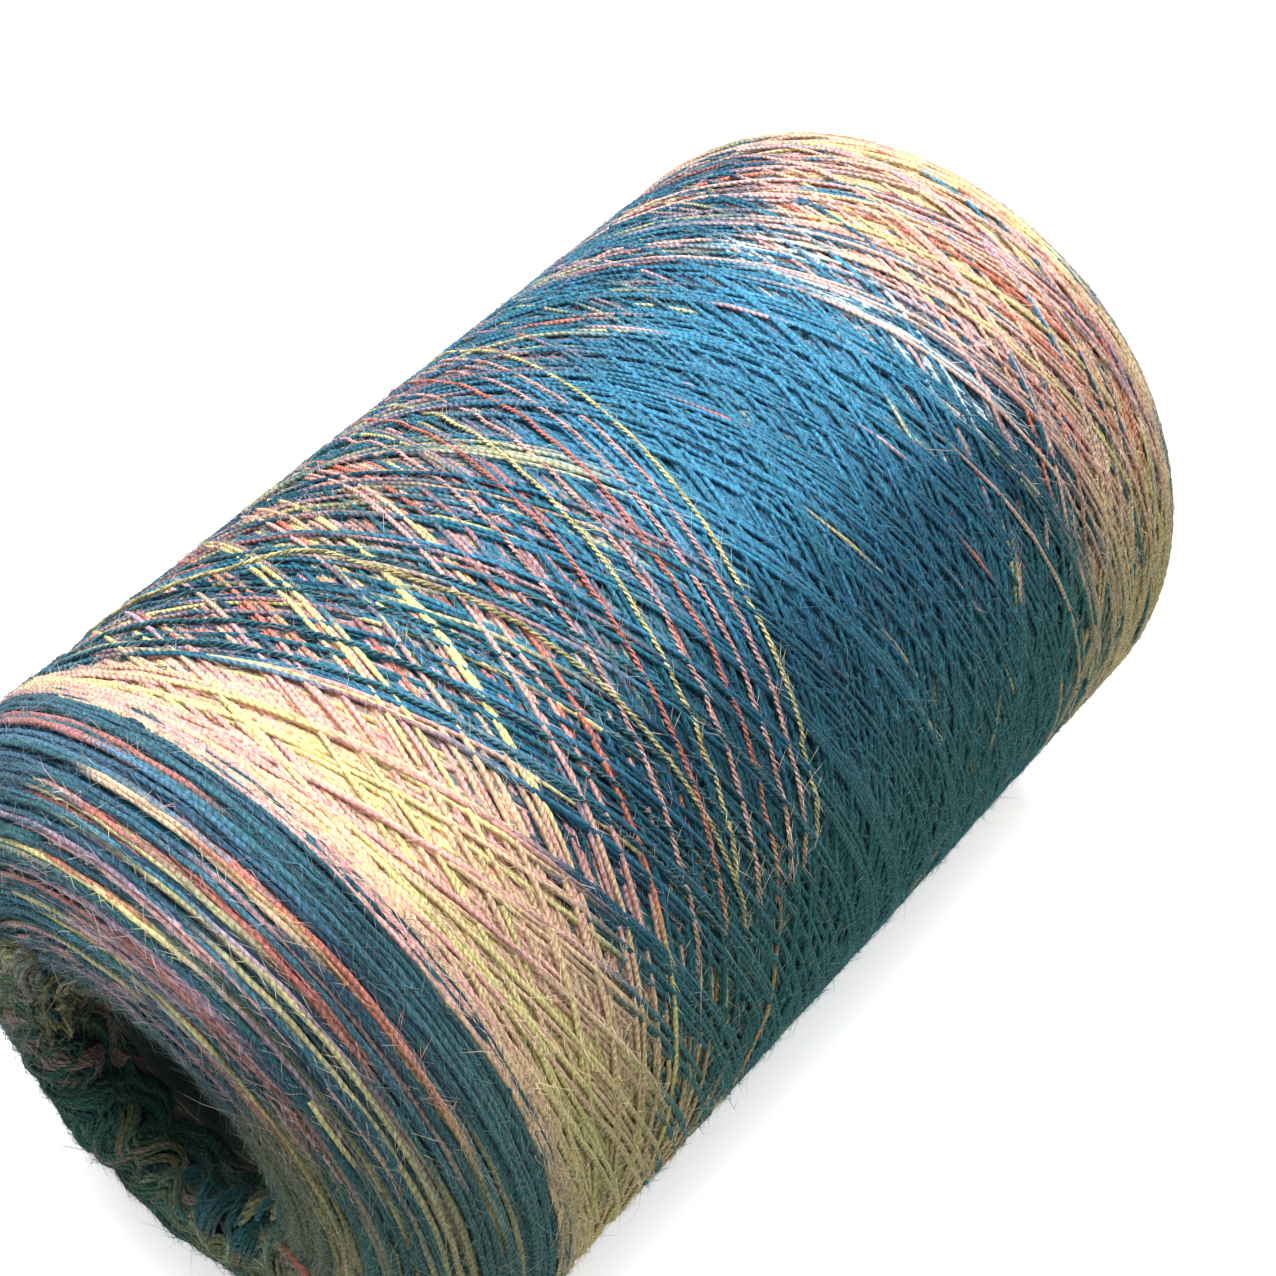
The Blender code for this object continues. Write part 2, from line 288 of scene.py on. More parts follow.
class Dyer:
    """Gives every sample of a strand its colour from where it lies and which pass it is, with shade painted
    in low on one side.
    """
    NAMES = ("denim", "teal", "navy", "green", "olive", "yellow", "peach", "pink", "salmon", "lilac",
             "mint")
    WARM = ("yellow", "peach", "pink", "salmon", "lilac")
    SHARES = {"near": (0.40, 0.24, 0.30, 0.04, 0.02), "cross": (0.28, 0.04, 0.32, 0.26, 0.10),
              "far": (0.18, 0.36, 0.22, 0.15, 0.09), "face": (0.24, 0.08, 0.20, 0.22, 0.26)}

    def __init__(self, seed):
        self.random = np.random.default_rng(seed)
        colours = settings()[1]
        self.dye = {name: np.array(getattr(colours, name)) for name in self.NAMES}
        self.clumps = self.random.random((2, 3, 46))

    def warm_pick(self, kind):
        """A warm colour for one strand."""
        base = self.dye[self.WARM[self.random.choice(5, p=self.SHARES[kind])]]
        return base * self.random.uniform(0.90, 1.08)

    def cool_pick(self, deep):
        """A cool colour for one strand; deep leans to navy and teal."""
        base = self.dye["denim"] * self.random.uniform(0.80, 1.20)
        other = self.dye["navy" if self.random.random() < 0.4 else "teal"]
        share = np.clip(self.random.normal(deep, 0.20), 0.0, 1.0)
        return base * (1.0 - share) + other * share

    def clumped(self, first_angle, direction):
        """Three picks from 0 to 1 that neighbouring passes share, so that like colours lie together."""
        table = self.clumps[int(direction > 0)]
        cell = int(np.mod(first_angle / (2.0 * pi), 1.0) * table.shape[1])
        return np.mod(table[:, cell] + self.random.normal(0.0, 0.06, 3), 1.0)

    def barrel(self, at, angle, direction):
        """Colours along one pass over the barrel."""
        rng = self.random
        near = (at - SHOULDER_AT) * MM
        turned = signed(angle)
        degrees = np.degrees(turned)
        count = len(at)
        out = self.blue(near, degrees, count)
        stretch = 0.30 + 0.80 * np.maximum(ramp(degrees, -32.0, 24.0), ramp(-degrees, 55.0, 120.0))
        left = ramp(-degrees, -2.0, 18.0) * (1.0 - ramp(-degrees, 130.0, 160.0))
        right = ramp(degrees, 28.0, 62.0)
        slip = rng.normal(0.0, 1.6)
        if direction > 0:
            reach = 16.5 * stretch + slip
            warm = 1.0 - ramp(near, reach - 2.0, reach + 2.5)
            if rng.random() < 0.05:
                warm = np.maximum(warm, 0.9 * (1.0 - ramp(near, 40.0, 52.0)))
        else:
            reach = 23.5 * stretch + 2.0 * slip
            warm = 1.0 - ramp(near, reach - 2.5, reach + 3.0)
            if rng.random() < 0.64:
                reach = rng.uniform(18.0, 64.0) + 26.0 * left - 9.0 * right
                warm = np.maximum(warm, 1.0 - ramp(near, reach - 3.0, reach + 3.0))
        colours = self.near_warm(near / stretch + rng.normal(0.0, 1.3), self.clumped(angle[0], direction))
        out = blend(out, colours, warm)
        away = left * window(near, 10.0, 150.0, 6.0)
        if rng.random() < 0.50:
            dashes = away * (wander(rng, count, 14, 1.0) > -0.1)
            out = blend(out, self.warm_pick("cross")[None] * 0.80, 0.62 * dashes)
            warm = np.maximum(warm, dashes)
        if rng.random() < 0.52:
            top = ramp(-degrees, -40.0, -18.0) * (1.0 - left) * window(near, 18.0, 60.0, 6.0)
            dashes = top * (wander(rng, count, 14, 1.0) > -0.3)
            out = blend(out, self.warm_pick("cross")[None], 0.60 * dashes)
            warm = np.maximum(warm, 0.5 * dashes)
        if rng.random() < 0.45:
            centre = rng.uniform(80.0, 120.0)
            fleck = window(near, centre, centre + 1.2, 0.7)
            out = blend(out, self.warm_pick("cross")[None], 0.8 * fleck)
            warm = np.maximum(warm, fleck)
        rise = 117.0 + rng.normal(0.0, 4.0) + 8.0 * ramp(degrees, 10.0, 70.0)
        if rng.random() < 0.92:
            rise = rise + 34.0 * ramp(-degrees, -4.0, 24.0) * (1.0 - ramp(-degrees, 130.0, 160.0))
        if direction < 0:
            rise = rise + abs(rng.normal(0.0, 6.0))
        far = ramp(near, rise - 3.0, rise + 4.0)
        if rng.random() < 0.42:
            spot = rise + rng.uniform(3.0, 22.0)
            far = far * (1.0 - window(near, spot, spot + rng.uniform(2.0, 7.0), 1.5))
        if rng.random() < 0.08:
            start = rng.uniform(100.0, 114.0)
            far = np.maximum(far, 0.85 * ramp(near, start, start + 4.0))
        out = blend(out, self.far_warm(near - rise), far)
        # Near-white flecks in a short band high on the front of the barrel.
        white_flecks = window(degrees, 0.0, 44.0, 6.0) * window(near, 113.5, 121.5, 1.2)
        if rng.random() < 0.50:
            out = blend(out, self.dye["mint"][None], white_flecks * (wander(rng, count, 6, 1.0) > 0.1))
        # Painted shade low on one side, from side().
        return self.side(out * (1.0 + wander(rng, count, 9, 0.07)[:, None]), angle, np.maximum(warm, far))

    def blue(self, near, degrees, count):
        """Blues of one pass: deep where it crosses the warm end, clearer in the middle."""
        deep = 0.70 - 0.55 * ramp(near, 42.0, 72.0) + 0.25 * ramp(near, 104.0, 124.0)
        # Painted shade: on the right, which is turned down from the lamp, the blues turn deeper and darker.
        # On the left they are also made deeper and a fifth darker.
        right = ramp(degrees, 20.0, 58.0) * (1.0 - ramp(degrees, 120.0, 170.0))
        left = ramp(-degrees, -8.0, 14.0) * (1.0 - ramp(-degrees, 120.0, 170.0))
        deep = np.clip(deep + 0.60 * right + 0.40 * left, 0.0, 1.0)
        out = blend(self.cool_pick(0.05)[None], self.cool_pick(0.90)[None], deep)
        out = out * (1.0 - right[:, None] * np.array((0.50, 0.26, 0.18)) - 0.20 * left[:, None])
        return out * (1.0 + wander(self.random, count, 50, 0.10)[:, None])

    def near_warm(self, near, pick):
        """Warm colours by distance from the nose reversal: pink, peach, yellow, pink, salmon."""
        first = self.dye["pink" if pick[0] < 0.4 else "peach"]
        middle = self.dye["yellow" if pick[1] < 0.60 else "peach" if pick[1] < 0.86 else "pink"]
        after = self.dye["pink" if pick[2] < 0.70 else "peach" if pick[2] < 0.86 else "yellow"]
        out = blend(first[None], middle[None], ramp(near, 2.5, 5.0))
        out = blend(out, after[None], ramp(near, 9.5, 12.5))
        return blend(out, self.warm_pick("cross")[None], ramp(near, 20.0, 24.0))

    def far_warm(self, beyond):
        """Warm colours by distance past the edge of the blue: salmon, then peach and yellow."""
        pale = 0.5 * self.dye["lilac"] + 0.6 * self.dye["peach"]
        pick = self.random.random()
        first = self.dye["salmon"] if pick < 0.20 else self.dye["pink"] if pick < 0.50 else pale
        out = blend(first[None], self.warm_pick("far")[None], ramp(beyond, 6.0, 11.0))
        rim = self.dye["yellow"] * 0.5 + self.dye["peach"] * 0.5
        return blend(out, rim[None], 0.5 * ramp(beyond, 24.0, 30.0))

    def face(self, at, angle, deep, chance, streaks):
        """Colours along one ring strand of the nose or base face."""
        rng = self.random
        count = len(at)
        out = np.repeat(self.cool_pick(deep)[None], count, 0)
        if streaks:
            outer = ramp(at * MM, 20.0, 30.0)
            out = blend(out * np.array((1.20, 0.90, 0.74)), out * np.array((1.30, 0.84, 0.80)), outer)
        out = out * (1.0 + wander(rng, count, 50, 0.14)[:, None])
        warm = np.zeros(count)
        degrees = np.degrees(signed(angle))
        shift = rng.normal(0.0, 5.0)
        skip = rng.random(len(streaks)) < 0.30
        shown = [streak for streak, left_out in zip(streaks, skip) if not left_out]
        for place, half, low, high, name, strength in shown:
            near = np.exp(-((at * MM - place) / half) ** 2 * 1.3)
            share = window(degrees + shift, low, high, 9.0) * ramp(near, 0.25, 0.60) * strength
            out = blend(out, self.dye[name][None] * rng.uniform(0.85, 1.1), share)
            warm = np.maximum(warm, share)
        hidden = ramp(np.abs(degrees), 120.0, 140.0) if streaks else np.ones(count)
        if rng.random() < chance:
            middle = rng.uniform(0.0, count)
            reach = rng.uniform(0.18, 0.55) * count
            share = (1.0 - ramp(np.abs(np.arange(count) - middle), reach * 0.6, reach)) * hidden
            out = blend(out, self.warm_pick("face")[None], share * rng.uniform(0.6, 1.0))
            warm = np.maximum(warm, share)
        if not streaks:
            # The base face also gets painted shade low on one side.
            return self.side(out, angle, warm, 34)
        if rng.random() < 0.62:
            middle = rng.uniform(-25.0, 105.0)
            reach = rng.uniform(14.0, 38.0)
            share = window(degrees, middle - reach, middle + reach, 8.0)
            share = share * window(at * MM, 4.5, 31.0, 2.0)
            share = share * rng.uniform(0.45, 1.0)
            out = blend(out, self.warm_pick("face")[None], share)
            warm = np.maximum(warm, share)
        mossy = (self.dye["green"] * 0.55 + self.dye["olive"] * 0.22) * rng.uniform(0.7, 1.3)
        out = blend(out, mossy[None], 0.65 * (1.0 - ramp(at * MM, 1.5, 6.0)))
        # Painted shade: dark green low on the face, next to the lip.
        low = window(np.mod(degrees, 360.0), 150.0, 305.0, 22.0) * (1.0 - ramp(at * MM, 12.0, 19.0))
        out = blend(out, self.dye["green"][None] * rng.uniform(0.35, 0.9), 0.90 * low)
        # Painted shade low on one side of the nose face.
        out = self.side(out, angle, warm, 34)
        low = window(degrees, 56.0, 130.0, 12.0) * window(at * MM, 4.0, 13.0, 3.0)
        out = blend(out, self.dye["olive"][None] * rng.uniform(0.4, 1.1), 0.50 * low)
        # Painted shade: the face is made a little darker on its right side.
        return out * (1.0 - 0.12 * window(degrees, 58.0, 120.0, 14.0))[:, None]

    def side(self, colours, angle, warm, start=44):
        """Paints shade on what lies low on one side: darker there, and tinted green, olive where the yarn is
        warm.
        """
        turned = np.mod(angle, 2.0 * pi)
        # Painted shade: share tints the low side green and shade darkens it. Together they stand for the
        # shade on the side turned down from the lamp.
        share = ramp(turned, radians(start), radians(88)) * (1.0 - ramp(turned, radians(150), radians(200)))
        shade = window(turned, radians(start + 4), radians(90), radians(16))
        colours = colours * (1.0 - (0.45 - 0.15 * warm) * shade)[:, None]
        green = blend(self.dye["green"][None], self.dye["olive"][None] * 1.3, warm)
        return blend(colours, green, 0.75 * share)

    def ground_in_shade(self, at, angle):
        """Colour of the yarn that lies deeper, darkened as painted shade for lying between the strands, and
        shaded low on one side.
        """
        near = (at - SHOULDER_AT) * MM
        cool = self.dye["teal"] * 0.8 + self.dye["navy"] * 0.2
        warm = self.dye["salmon"] * 0.6 + self.dye["peach"] * 0.4
        share = window(near, 0.5, 15.0, 3.0) + ramp(near, 124.0, 132.0)
        out = self.side(blend(cool[None], warm[None], np.clip(share, 0.0, 1.0)), angle, share)
        # Painted shade: the cool deeper yarn is kept darker than the warm.
        return out * (0.88 + 0.27 * share)[:, None]


# ---------------------------------------------------------------- winding

SAMPLE = 0.0006                # step along a strand while it is being wound


class HeightMap:
    """How high the yarn has built up over the skin, on a grid of arc length and angle."""
    CELL = 0.00035
    TURNS = 1080

    def __init__(self, meridian, layer):
        self.rows = int(meridian.total / self.CELL) + 3
        self.grid = np.zeros((self.rows, self.TURNS))
        self.layer = layer

    def cells(self, at, angle, shift=0):
        """Grid cells under samples, moved by a number of rows."""
        row = np.clip(np.rint(at / self.CELL).astype(int) + shift, 0, self.rows - 1)
        turn = np.rint(np.mod(angle, 2.0 * pi) / (2.0 * pi) * self.TURNS).astype(int) % self.TURNS
        return row, turn

    def rest(self, at, angle, stiff):
        """Heights of a new strand's underside; the strand is added to the map."""
        under = np.max([self.grid[self.cells(at, angle, shift)] for shift in (-1, 0, 1)], axis=0)
        under = np.max([under, np.r_[under[1:], under[-1]], np.r_[under[0], under[:-1]]], axis=0)
        kernel = np.exp(-0.5 * (np.arange(-3 * stiff, 3 * stiff + 1) / stiff) ** 2)
        height = np.convolve(np.pad(under, 3 * stiff, "edge"), kernel / kernel.sum(), "valid")
        height = 0.6 * height + 0.4 * np.minimum(under, height)
        for shift, share in ((-1, 0.6), (0, 1.0), (1, 0.6)):
            np.maximum.at(self.grid, self.cells(at, angle, shift), height + self.layer * share)
        return height

    def settle(self, reach):
        """Finds the broad unevenness of the finished winding, which is taken off again."""
        wound = self.grid.max(axis=1) > 0.0
        rows = np.arange(self.rows)
        nearest = rows[wound][np.abs(rows[:, None] - rows[wound][None]).argmin(axis=1)]
        filled = self.grid[nearest]
        cells = int(reach / self.CELL)
        ease = np.hanning(2 * cells + 3)[1:-1]
        ease /= ease.sum()
        padded = np.pad(filled, ((cells, cells), (0, 0)), "edge")
        filled = np.apply_along_axis(lambda line: np.convolve(line, ease, "valid"), 0, padded)
        padded = np.pad(filled, ((0, 0), (cells, cells)), "wrap")
        self.broad = np.apply_along_axis(lambda line: np.convolve(line, ease, "valid"), 1, padded)

    def lift(self, at, angle, height, rise, dip):
        """Height over the skin of a strand's middle, its bumps held between dip and rise."""
        left = height + 0.5 * self.layer - self.broad[self.cells(at, angle)]
        return np.where(left > 0.0, rise * np.tanh(left / rise), dip * np.tanh(left / dip))


class Strand:
    """One wound strand: its samples, the height of its underside and its colours."""

    def __init__(self, at, angle, height, colours):
        self.at, self.angle, self.height, self.colours = at, angle, height, colours


def traverse():
    """Share of the way along the barrel by share of the turns: slow at both reversals."""
    share = np.linspace(0.0, 1.0, 400)
    speed = 0.05 + ramp(share, 0.0, 0.19) * ramp(1.0 - share, 0.0, 0.21)
    way = np.cumsum(speed)
    way = (way - way[0]) / (way[-1] - way[0])
    return share, way, float(np.max(np.gradient(way, share)))


def barrel_pass(rng, first_angle, direction, sizes):
    """Samples of one pass from the nose reversal to the base reversal."""
    share, way, fastest = traverse()
    start = SHOULDER_AT - 0.0004 + abs(rng.normal(0.0, 0.0022))
    end = EDGE_AT + 0.0030 - abs(rng.normal(0.0, 0.0030))
    angle_here = sizes.cross_angle + rng.normal(0.0, radians(0.8))
    middle = float(SKIN.at_radius(0.5 * (start + end)))
    turns = (end - start) * fastest / (middle * tan(angle_here))
    count = int(turns * middle / SAMPLE)
    part = np.linspace(0.0, 1.0, count)
    at = start + (end - start) * np.interp(part, share, way)
    held = ramp(part, 0.0, 0.1) * ramp(1.0 - part, 0.0, 0.1)
    at = at + wander(rng, count, 60, 0.00028) * held
    return at, first_angle + direction * turns * part


def ring_strand(rng, low, high):
    """Samples of one nearly level strand on a face, drifting slowly outwards or inwards."""
    middle = rng.uniform(low, high)
    radius = float(SKIN.at_radius(middle))
    turn = rng.uniform(0.6, 1.9) * pi
    count = max(40, int(turn * radius / SAMPLE))
    drift = rng.normal(0.0, 0.0010) * turn / pi
    part = np.linspace(-0.5, 0.5, count)
    loose = 1.0 + 2.2 * float(1.0 - ramp(middle, low + 0.001, low + 0.006))
    at = middle + drift * part + wander(rng, count, 45, 0.00018 * loose)
    at = np.clip(at, low - 0.0008, high + 0.0006)
    return at, rng.uniform(0.0, 2.0 * pi) + turn * part


def along_to_at(along):
    """Arc length of the skin where the barrel has a distance from the nose plane."""
    return SHOULDER_AT + (np.asarray(along) - SHOULDER_LENGTH) / cos(TAPER)


# Passes that lie on the skin: share of the length under the top line, way round, dye
OUTER_PASSES = (
    (0.522, -1, "yellow"), (0.506, -1, "pink"), (0.488, -1, "pink"), (0.470, -1, "salmon"),
    (0.448, -1, "pink"), (0.430, -1, "yellow"), (0.408, -1, "salmon"), (0.378, -1, "pink"),
    (0.182, 1, "teal"), (0.208, 1, "teal"), (0.246, 1, "teal"), (0.290, 1, "teal"),
)
LAST_UNDER = 8                 # passes of the list that lie under the last barrel passes
PASS_FROM = radians(-62)
PASS_TO = radians(76)
CROSS_SLOPE = tan(radians(16))

# The loose pass: share of the length, degrees from the top, lift in metres
LOOSE_ROUTE = (
    (0.176, -52, 0.0), (0.200, -34, 0.0003), (0.228, -17, 0.0015), (0.262, -8, 0.0022),
    (0.280, 4, 0.0016), (0.302, 16, 0.0006), (0.318, 32, 0.0002), (0.322, 56, 0.0), (0.316, 78, 0.0),
)


def smooth_through(knots, count):
    """Evenly spread points on a smooth curve through knots (one row each)."""
    knots = np.array(knots, float)
    ends = np.vstack((2.0 * knots[0] - knots[1], knots, 2.0 * knots[-1] - knots[-2]))
    share = np.linspace(0.0, len(knots) - 1.0 - 1e-9, count)
    index = share.astype(int)
    t = (share - index)[:, None]
    a, b, c, d = (ends[index + step] for step in range(4))
    return 0.5 * (2 * b + (c - a) * t + (2 * a - 5 * b + 4 * c - d) * t ** 2
                  + (3 * b - a - 3 * c + d) * t ** 3)


NOSE_STRANDS = 330
BASE_STRANDS = 230
OVER_PASSES = 30
GOLDEN = pi * (3.0 - sqrt(5.0))        # turn from one pass's start to the next, so that they spread evenly
WOUND = {}


def wound():
    """The strands of both faces and the barrel, wound once, with their height maps."""
    if WOUND:
        return WOUND
    sizes = settings()[0]
    rng = np.random.default_rng(11)
    dyer = Dyer(12)
    layer = sizes.yarn * 0.45
    faces = HeightMap(SKIN, layer)
    barrel = HeightMap(SKIN, layer)
    groups = {name: [] for name in ("nose", "base", "barrel", "pass", "loose")}

    def add(group, level, at, angle, colours, stiff=4):
        height = level.rest(at, angle, stiff)
        groups[group].append(Strand(at, angle, height, colours))

    for _ in range(NOSE_STRANDS):
        at, angle = ring_strand(rng, 0.0004, SHOULDER_AT + 0.0012)
        add("nose", faces, at, angle, dyer.face(at, angle, 0.80, 0.80, NOSE_STREAKS))
    for _ in range(BASE_STRANDS):
        at, angle = ring_strand(rng, EDGE_AT - 0.001, SKIN.total - 0.0004)
        add("base", faces, at, angle, dyer.face(at, angle, 0.40, 0.60, ()))
    for number in range(2 * sizes.passes):
        direction = 1.0 if number % 2 else -1.0
        first = number // 2 * GOLDEN + rng.normal(0.0, 0.01)
        at, angle = barrel_pass(rng, first, direction, sizes)
        add("barrel", barrel, at, angle, dyer.barrel(at, angle, direction))
    for number, (share, direction, name) in enumerate(OUTER_PASSES):
        if number == LAST_UNDER:
            for over in range(OVER_PASSES):
                at, angle = barrel_pass(rng, over * GOLDEN, 1.0, sizes)
                add("barrel", barrel, at, angle, dyer.barrel(at, angle, 1.0))
        angle = np.linspace(PASS_FROM, PASS_TO, 500)
        along = share * WINDING_LENGTH + direction * BASE_RADIUS * 0.9 * CROSS_SLOPE * angle
        colours = np.repeat(dyer.dye[name][None], len(angle), 0)
        warm = np.full(len(angle), float(direction < 0))
        # The last passes get painted shade low on one side.
        add("pass", barrel, along_to_at(along), angle, dyer.side(colours, angle, warm), 7)
    route = smooth_through(LOOSE_ROUTE, 500)
    angle = np.radians(route[:, 1])
    mix = blend(dyer.dye["yellow"][None] * 0.85, dyer.dye["olive"][None] * 1.3,
                0.35 + 0.2 * np.sin(angle * 5.0))
    at = along_to_at(route[:, 0] * WINDING_LENGTH)
    # The loose pass gets painted shade low on one side.
    add("loose", barrel, at, angle, dyer.side(mix, angle, np.ones(len(angle))), 9)
    WOUND["loose lift"] = np.maximum(route[:, 2], 0.0)
    for level in (faces, barrel):
        level.settle(0.006)
    WOUND.update(groups=groups, faces=faces, barrel=barrel, seeds=[])
    return WOUND


def shown_runs(strand, level, slack, spare):
    """Stretches of a strand that nothing covers, as index ranges."""
    top = strand.height + level.layer
    seen = np.zeros(len(top), bool)
    for shift in (-1, 0, 1):
        seen |= level.grid[level.cells(strand.at, strand.angle, shift)] - top < slack
    seen = np.convolve(seen, np.ones(2 * spare + 1), "same") > 0
    change = np.flatnonzero(np.diff(np.r_[0, seen.astype(int), 0]))
    return [(a, b) for a, b in zip(change[::2], change[1::2]) if b - a > 2 * spare]


def sink_ends(count, depth, over):
    """Lowers both ends of a run so that they go in under its neighbours."""
    step = np.arange(count)
    near_end = np.minimum(step, count - 1 - step)
    return -depth * (1.0 - ramp(near_end, 0.0, over))


# ---------------------------------------------------------------- meshes

class StrandMesh:
    """Gathers strands and makes one mesh of closed tubes from them."""

    def __init__(self, sides):
        self.sides = sides
        self.points, self.normals, self.radii = [], [], []
        self.colours, self.lengths, self.counts = [], [], []

    def add(self, points, normals, radius, colours):
        points = np.asarray(points, float)
        step = np.linalg.norm(np.diff(points, axis=0), axis=1)
        self.points.append(points)
        self.normals.append(np.asarray(normals, float))
        self.radii.append(np.broadcast_to(radius, len(points)))
        self.colours.append(np.broadcast_to(colours, (len(points), 3)))
        own = 1.0 + 0.16 * sin(2.4 * len(self.counts))        # no two strands are twisted quite alike
        self.lengths.append(0.0137 * len(self.counts) + own * np.r_[0.0, np.cumsum(step)])
        self.counts.append(len(points))

    def faces(self):
        """Triangles that the tubes come to."""
        return sum(2 * self.sides * (count - 1) + 2 * (self.sides - 2) for count in self.counts)

    def build(self, name, squash=0.84):
        """The mesh object, with its dye attribute and the map of length and turn."""
        sides = self.sides
        counts = np.array(self.counts)
        starts = np.r_[0, np.cumsum(counts)[:-1]]
        point = np.concatenate(self.points)
        normal = np.concatenate(self.normals)
        radius = np.concatenate(self.radii)
        dye = np.concatenate(self.colours)
        length = np.concatenate(self.lengths)
        first = np.zeros(len(point), bool)
        last = np.zeros(len(point), bool)
        first[starts] = True
        last[starts + counts - 1] = True
        ahead = np.where(last[:, None], point, np.roll(point, -1, 0))
        behind = np.where(first[:, None], point, np.roll(point, 1, 0))
        tangent = ahead - behind
        tangent /= np.linalg.norm(tangent, axis=1)[:, None] + 1e-12
        side = np.cross(tangent, normal)
        side /= np.linalg.norm(side, axis=1)[:, None] + 1e-12
        lift = np.cross(side, tangent)
        turn = 0.5 * pi + 2.0 * pi * (np.arange(sides) - sides // 4) / sides
        ring = (np.cos(turn)[None, :, None] * side[:, None]
                + squash * np.sin(turn)[None, :, None] * lift[:, None])
        corner = (point[:, None] + radius[:, None, None] * ring).reshape(-1, 3)
        here = np.flatnonzero(~last)
        j = np.arange(sides)
        k = (j + 1) % sides
        row, next_row = here[:, None] * sides, (here[:, None] + 1) * sides
        quads = np.stack([row + j, row + k, next_row + k, next_row + j], -1).reshape(-1, 4)
        caps_low = starts[:, None] * sides + j[::-1]
        caps_high = (starts + counts - 1)[:, None] * sides + j
        loops = np.concatenate([quads.ravel(), caps_low.ravel(), caps_high.ravel()])
        sizes = np.concatenate([np.full(len(quads), 4), np.full(2 * len(starts), sides)])
        piece = dyed_piece(name, corner, loops, sizes, np.repeat(dye, sides, 0))
        mesh = piece.data
        uv = mesh.uv_layers.new(name="Strand")
        low, high = length[here], length[here + 1]
        turn_low = np.broadcast_to(j / sides, (len(here), sides))
        turn_high = turn_low + 1.0 / sides
        low = np.broadcast_to(low[:, None], turn_low.shape)
        high = np.broadcast_to(high[:, None], turn_low.shape)
        quad_uv = np.stack([np.stack([low, turn_low], -1), np.stack([low, turn_high], -1),
                            np.stack([high, turn_high], -1), np.stack([high, turn_low], -1)], 2)
        cap_uv = np.concatenate([
            np.stack([np.repeat(length[starts], sides), np.tile(j[::-1] / sides, len(starts))], -1),
            np.stack([np.repeat(length[starts + counts - 1], sides), np.tile(j / sides, len(starts))], -1)])
        flat = np.concatenate([quad_uv.reshape(-1, 2), cap_uv]).astype(np.float32)
        flat[:, 0] *= MM
        uv.data.foreach_set("uv", flat.ravel())
        return piece


def keep_above_table(points, lowest):
    """Moves what would lie under the table up onto it: the soft winding lies flat there."""
    points = np.array(points)
    points[:, 2] = np.maximum(points[:, 2], lowest)
    return points


def thin(count, every):
    """Indexes of every few samples of a run, both ends kept."""
    wanted = max(2, int(round((count - 1) / every)) + 1)
    return np.unique(np.rint(np.linspace(0, count - 1, wanted)).astype(int))


def finish_piece(piece, material_, body, slot_name, *nodes):
    """Gives a piece its material and its body, and hides the solids that it stands for."""
    piece.data.materials.clear()
    piece.data.materials.append(material_)
    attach(piece, body)
    if nodes:
        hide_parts(*nodes)
    return piece


# ---------------------------------------------------------------- materials

def node(tree, kind, place, feeds=None, **values):
    """A shader node with its attributes set and its inputs fed."""
    made = tree.nodes.new(kind if kind.startswith("Node") else "ShaderNode" + kind)
    made.location = place
    for key, value in values.items():
        setattr(made, key, value)
    feed(tree, made, feeds or {})
    return made


def feed(tree, made, feeds):
    """Links inputs of a node to outputs of others, or gives them values."""
    for key, value in feeds.items():
        if isinstance(value, bpy.types.NodeSocket):
            tree.links.new(value, made.inputs[key])
        else:
            made.inputs[key].default_value = value


def new_material(name, values):
    """A material, its node tree and its Principled shader with inputs set."""
    made = bpy.data.materials.new(name)
    made.use_nodes = True
    tree = made.node_tree
    shader = tree.nodes["Principled BSDF"]
    feed(tree, shader, values)
    return made, tree, shader


def seen_directly(tree, place):
    """Output that is 1 where the camera or a reflection looks, and 0 for light on the pieces."""
    path = node(tree, "LightPath", place)
    both = node(tree, "Math", (place[0] + 200, place[1]),
                {0: path.outputs["Is Camera Ray"], 1: path.outputs["Is Glossy Ray"]}, operation="MAXIMUM")
    return both.outputs[0]


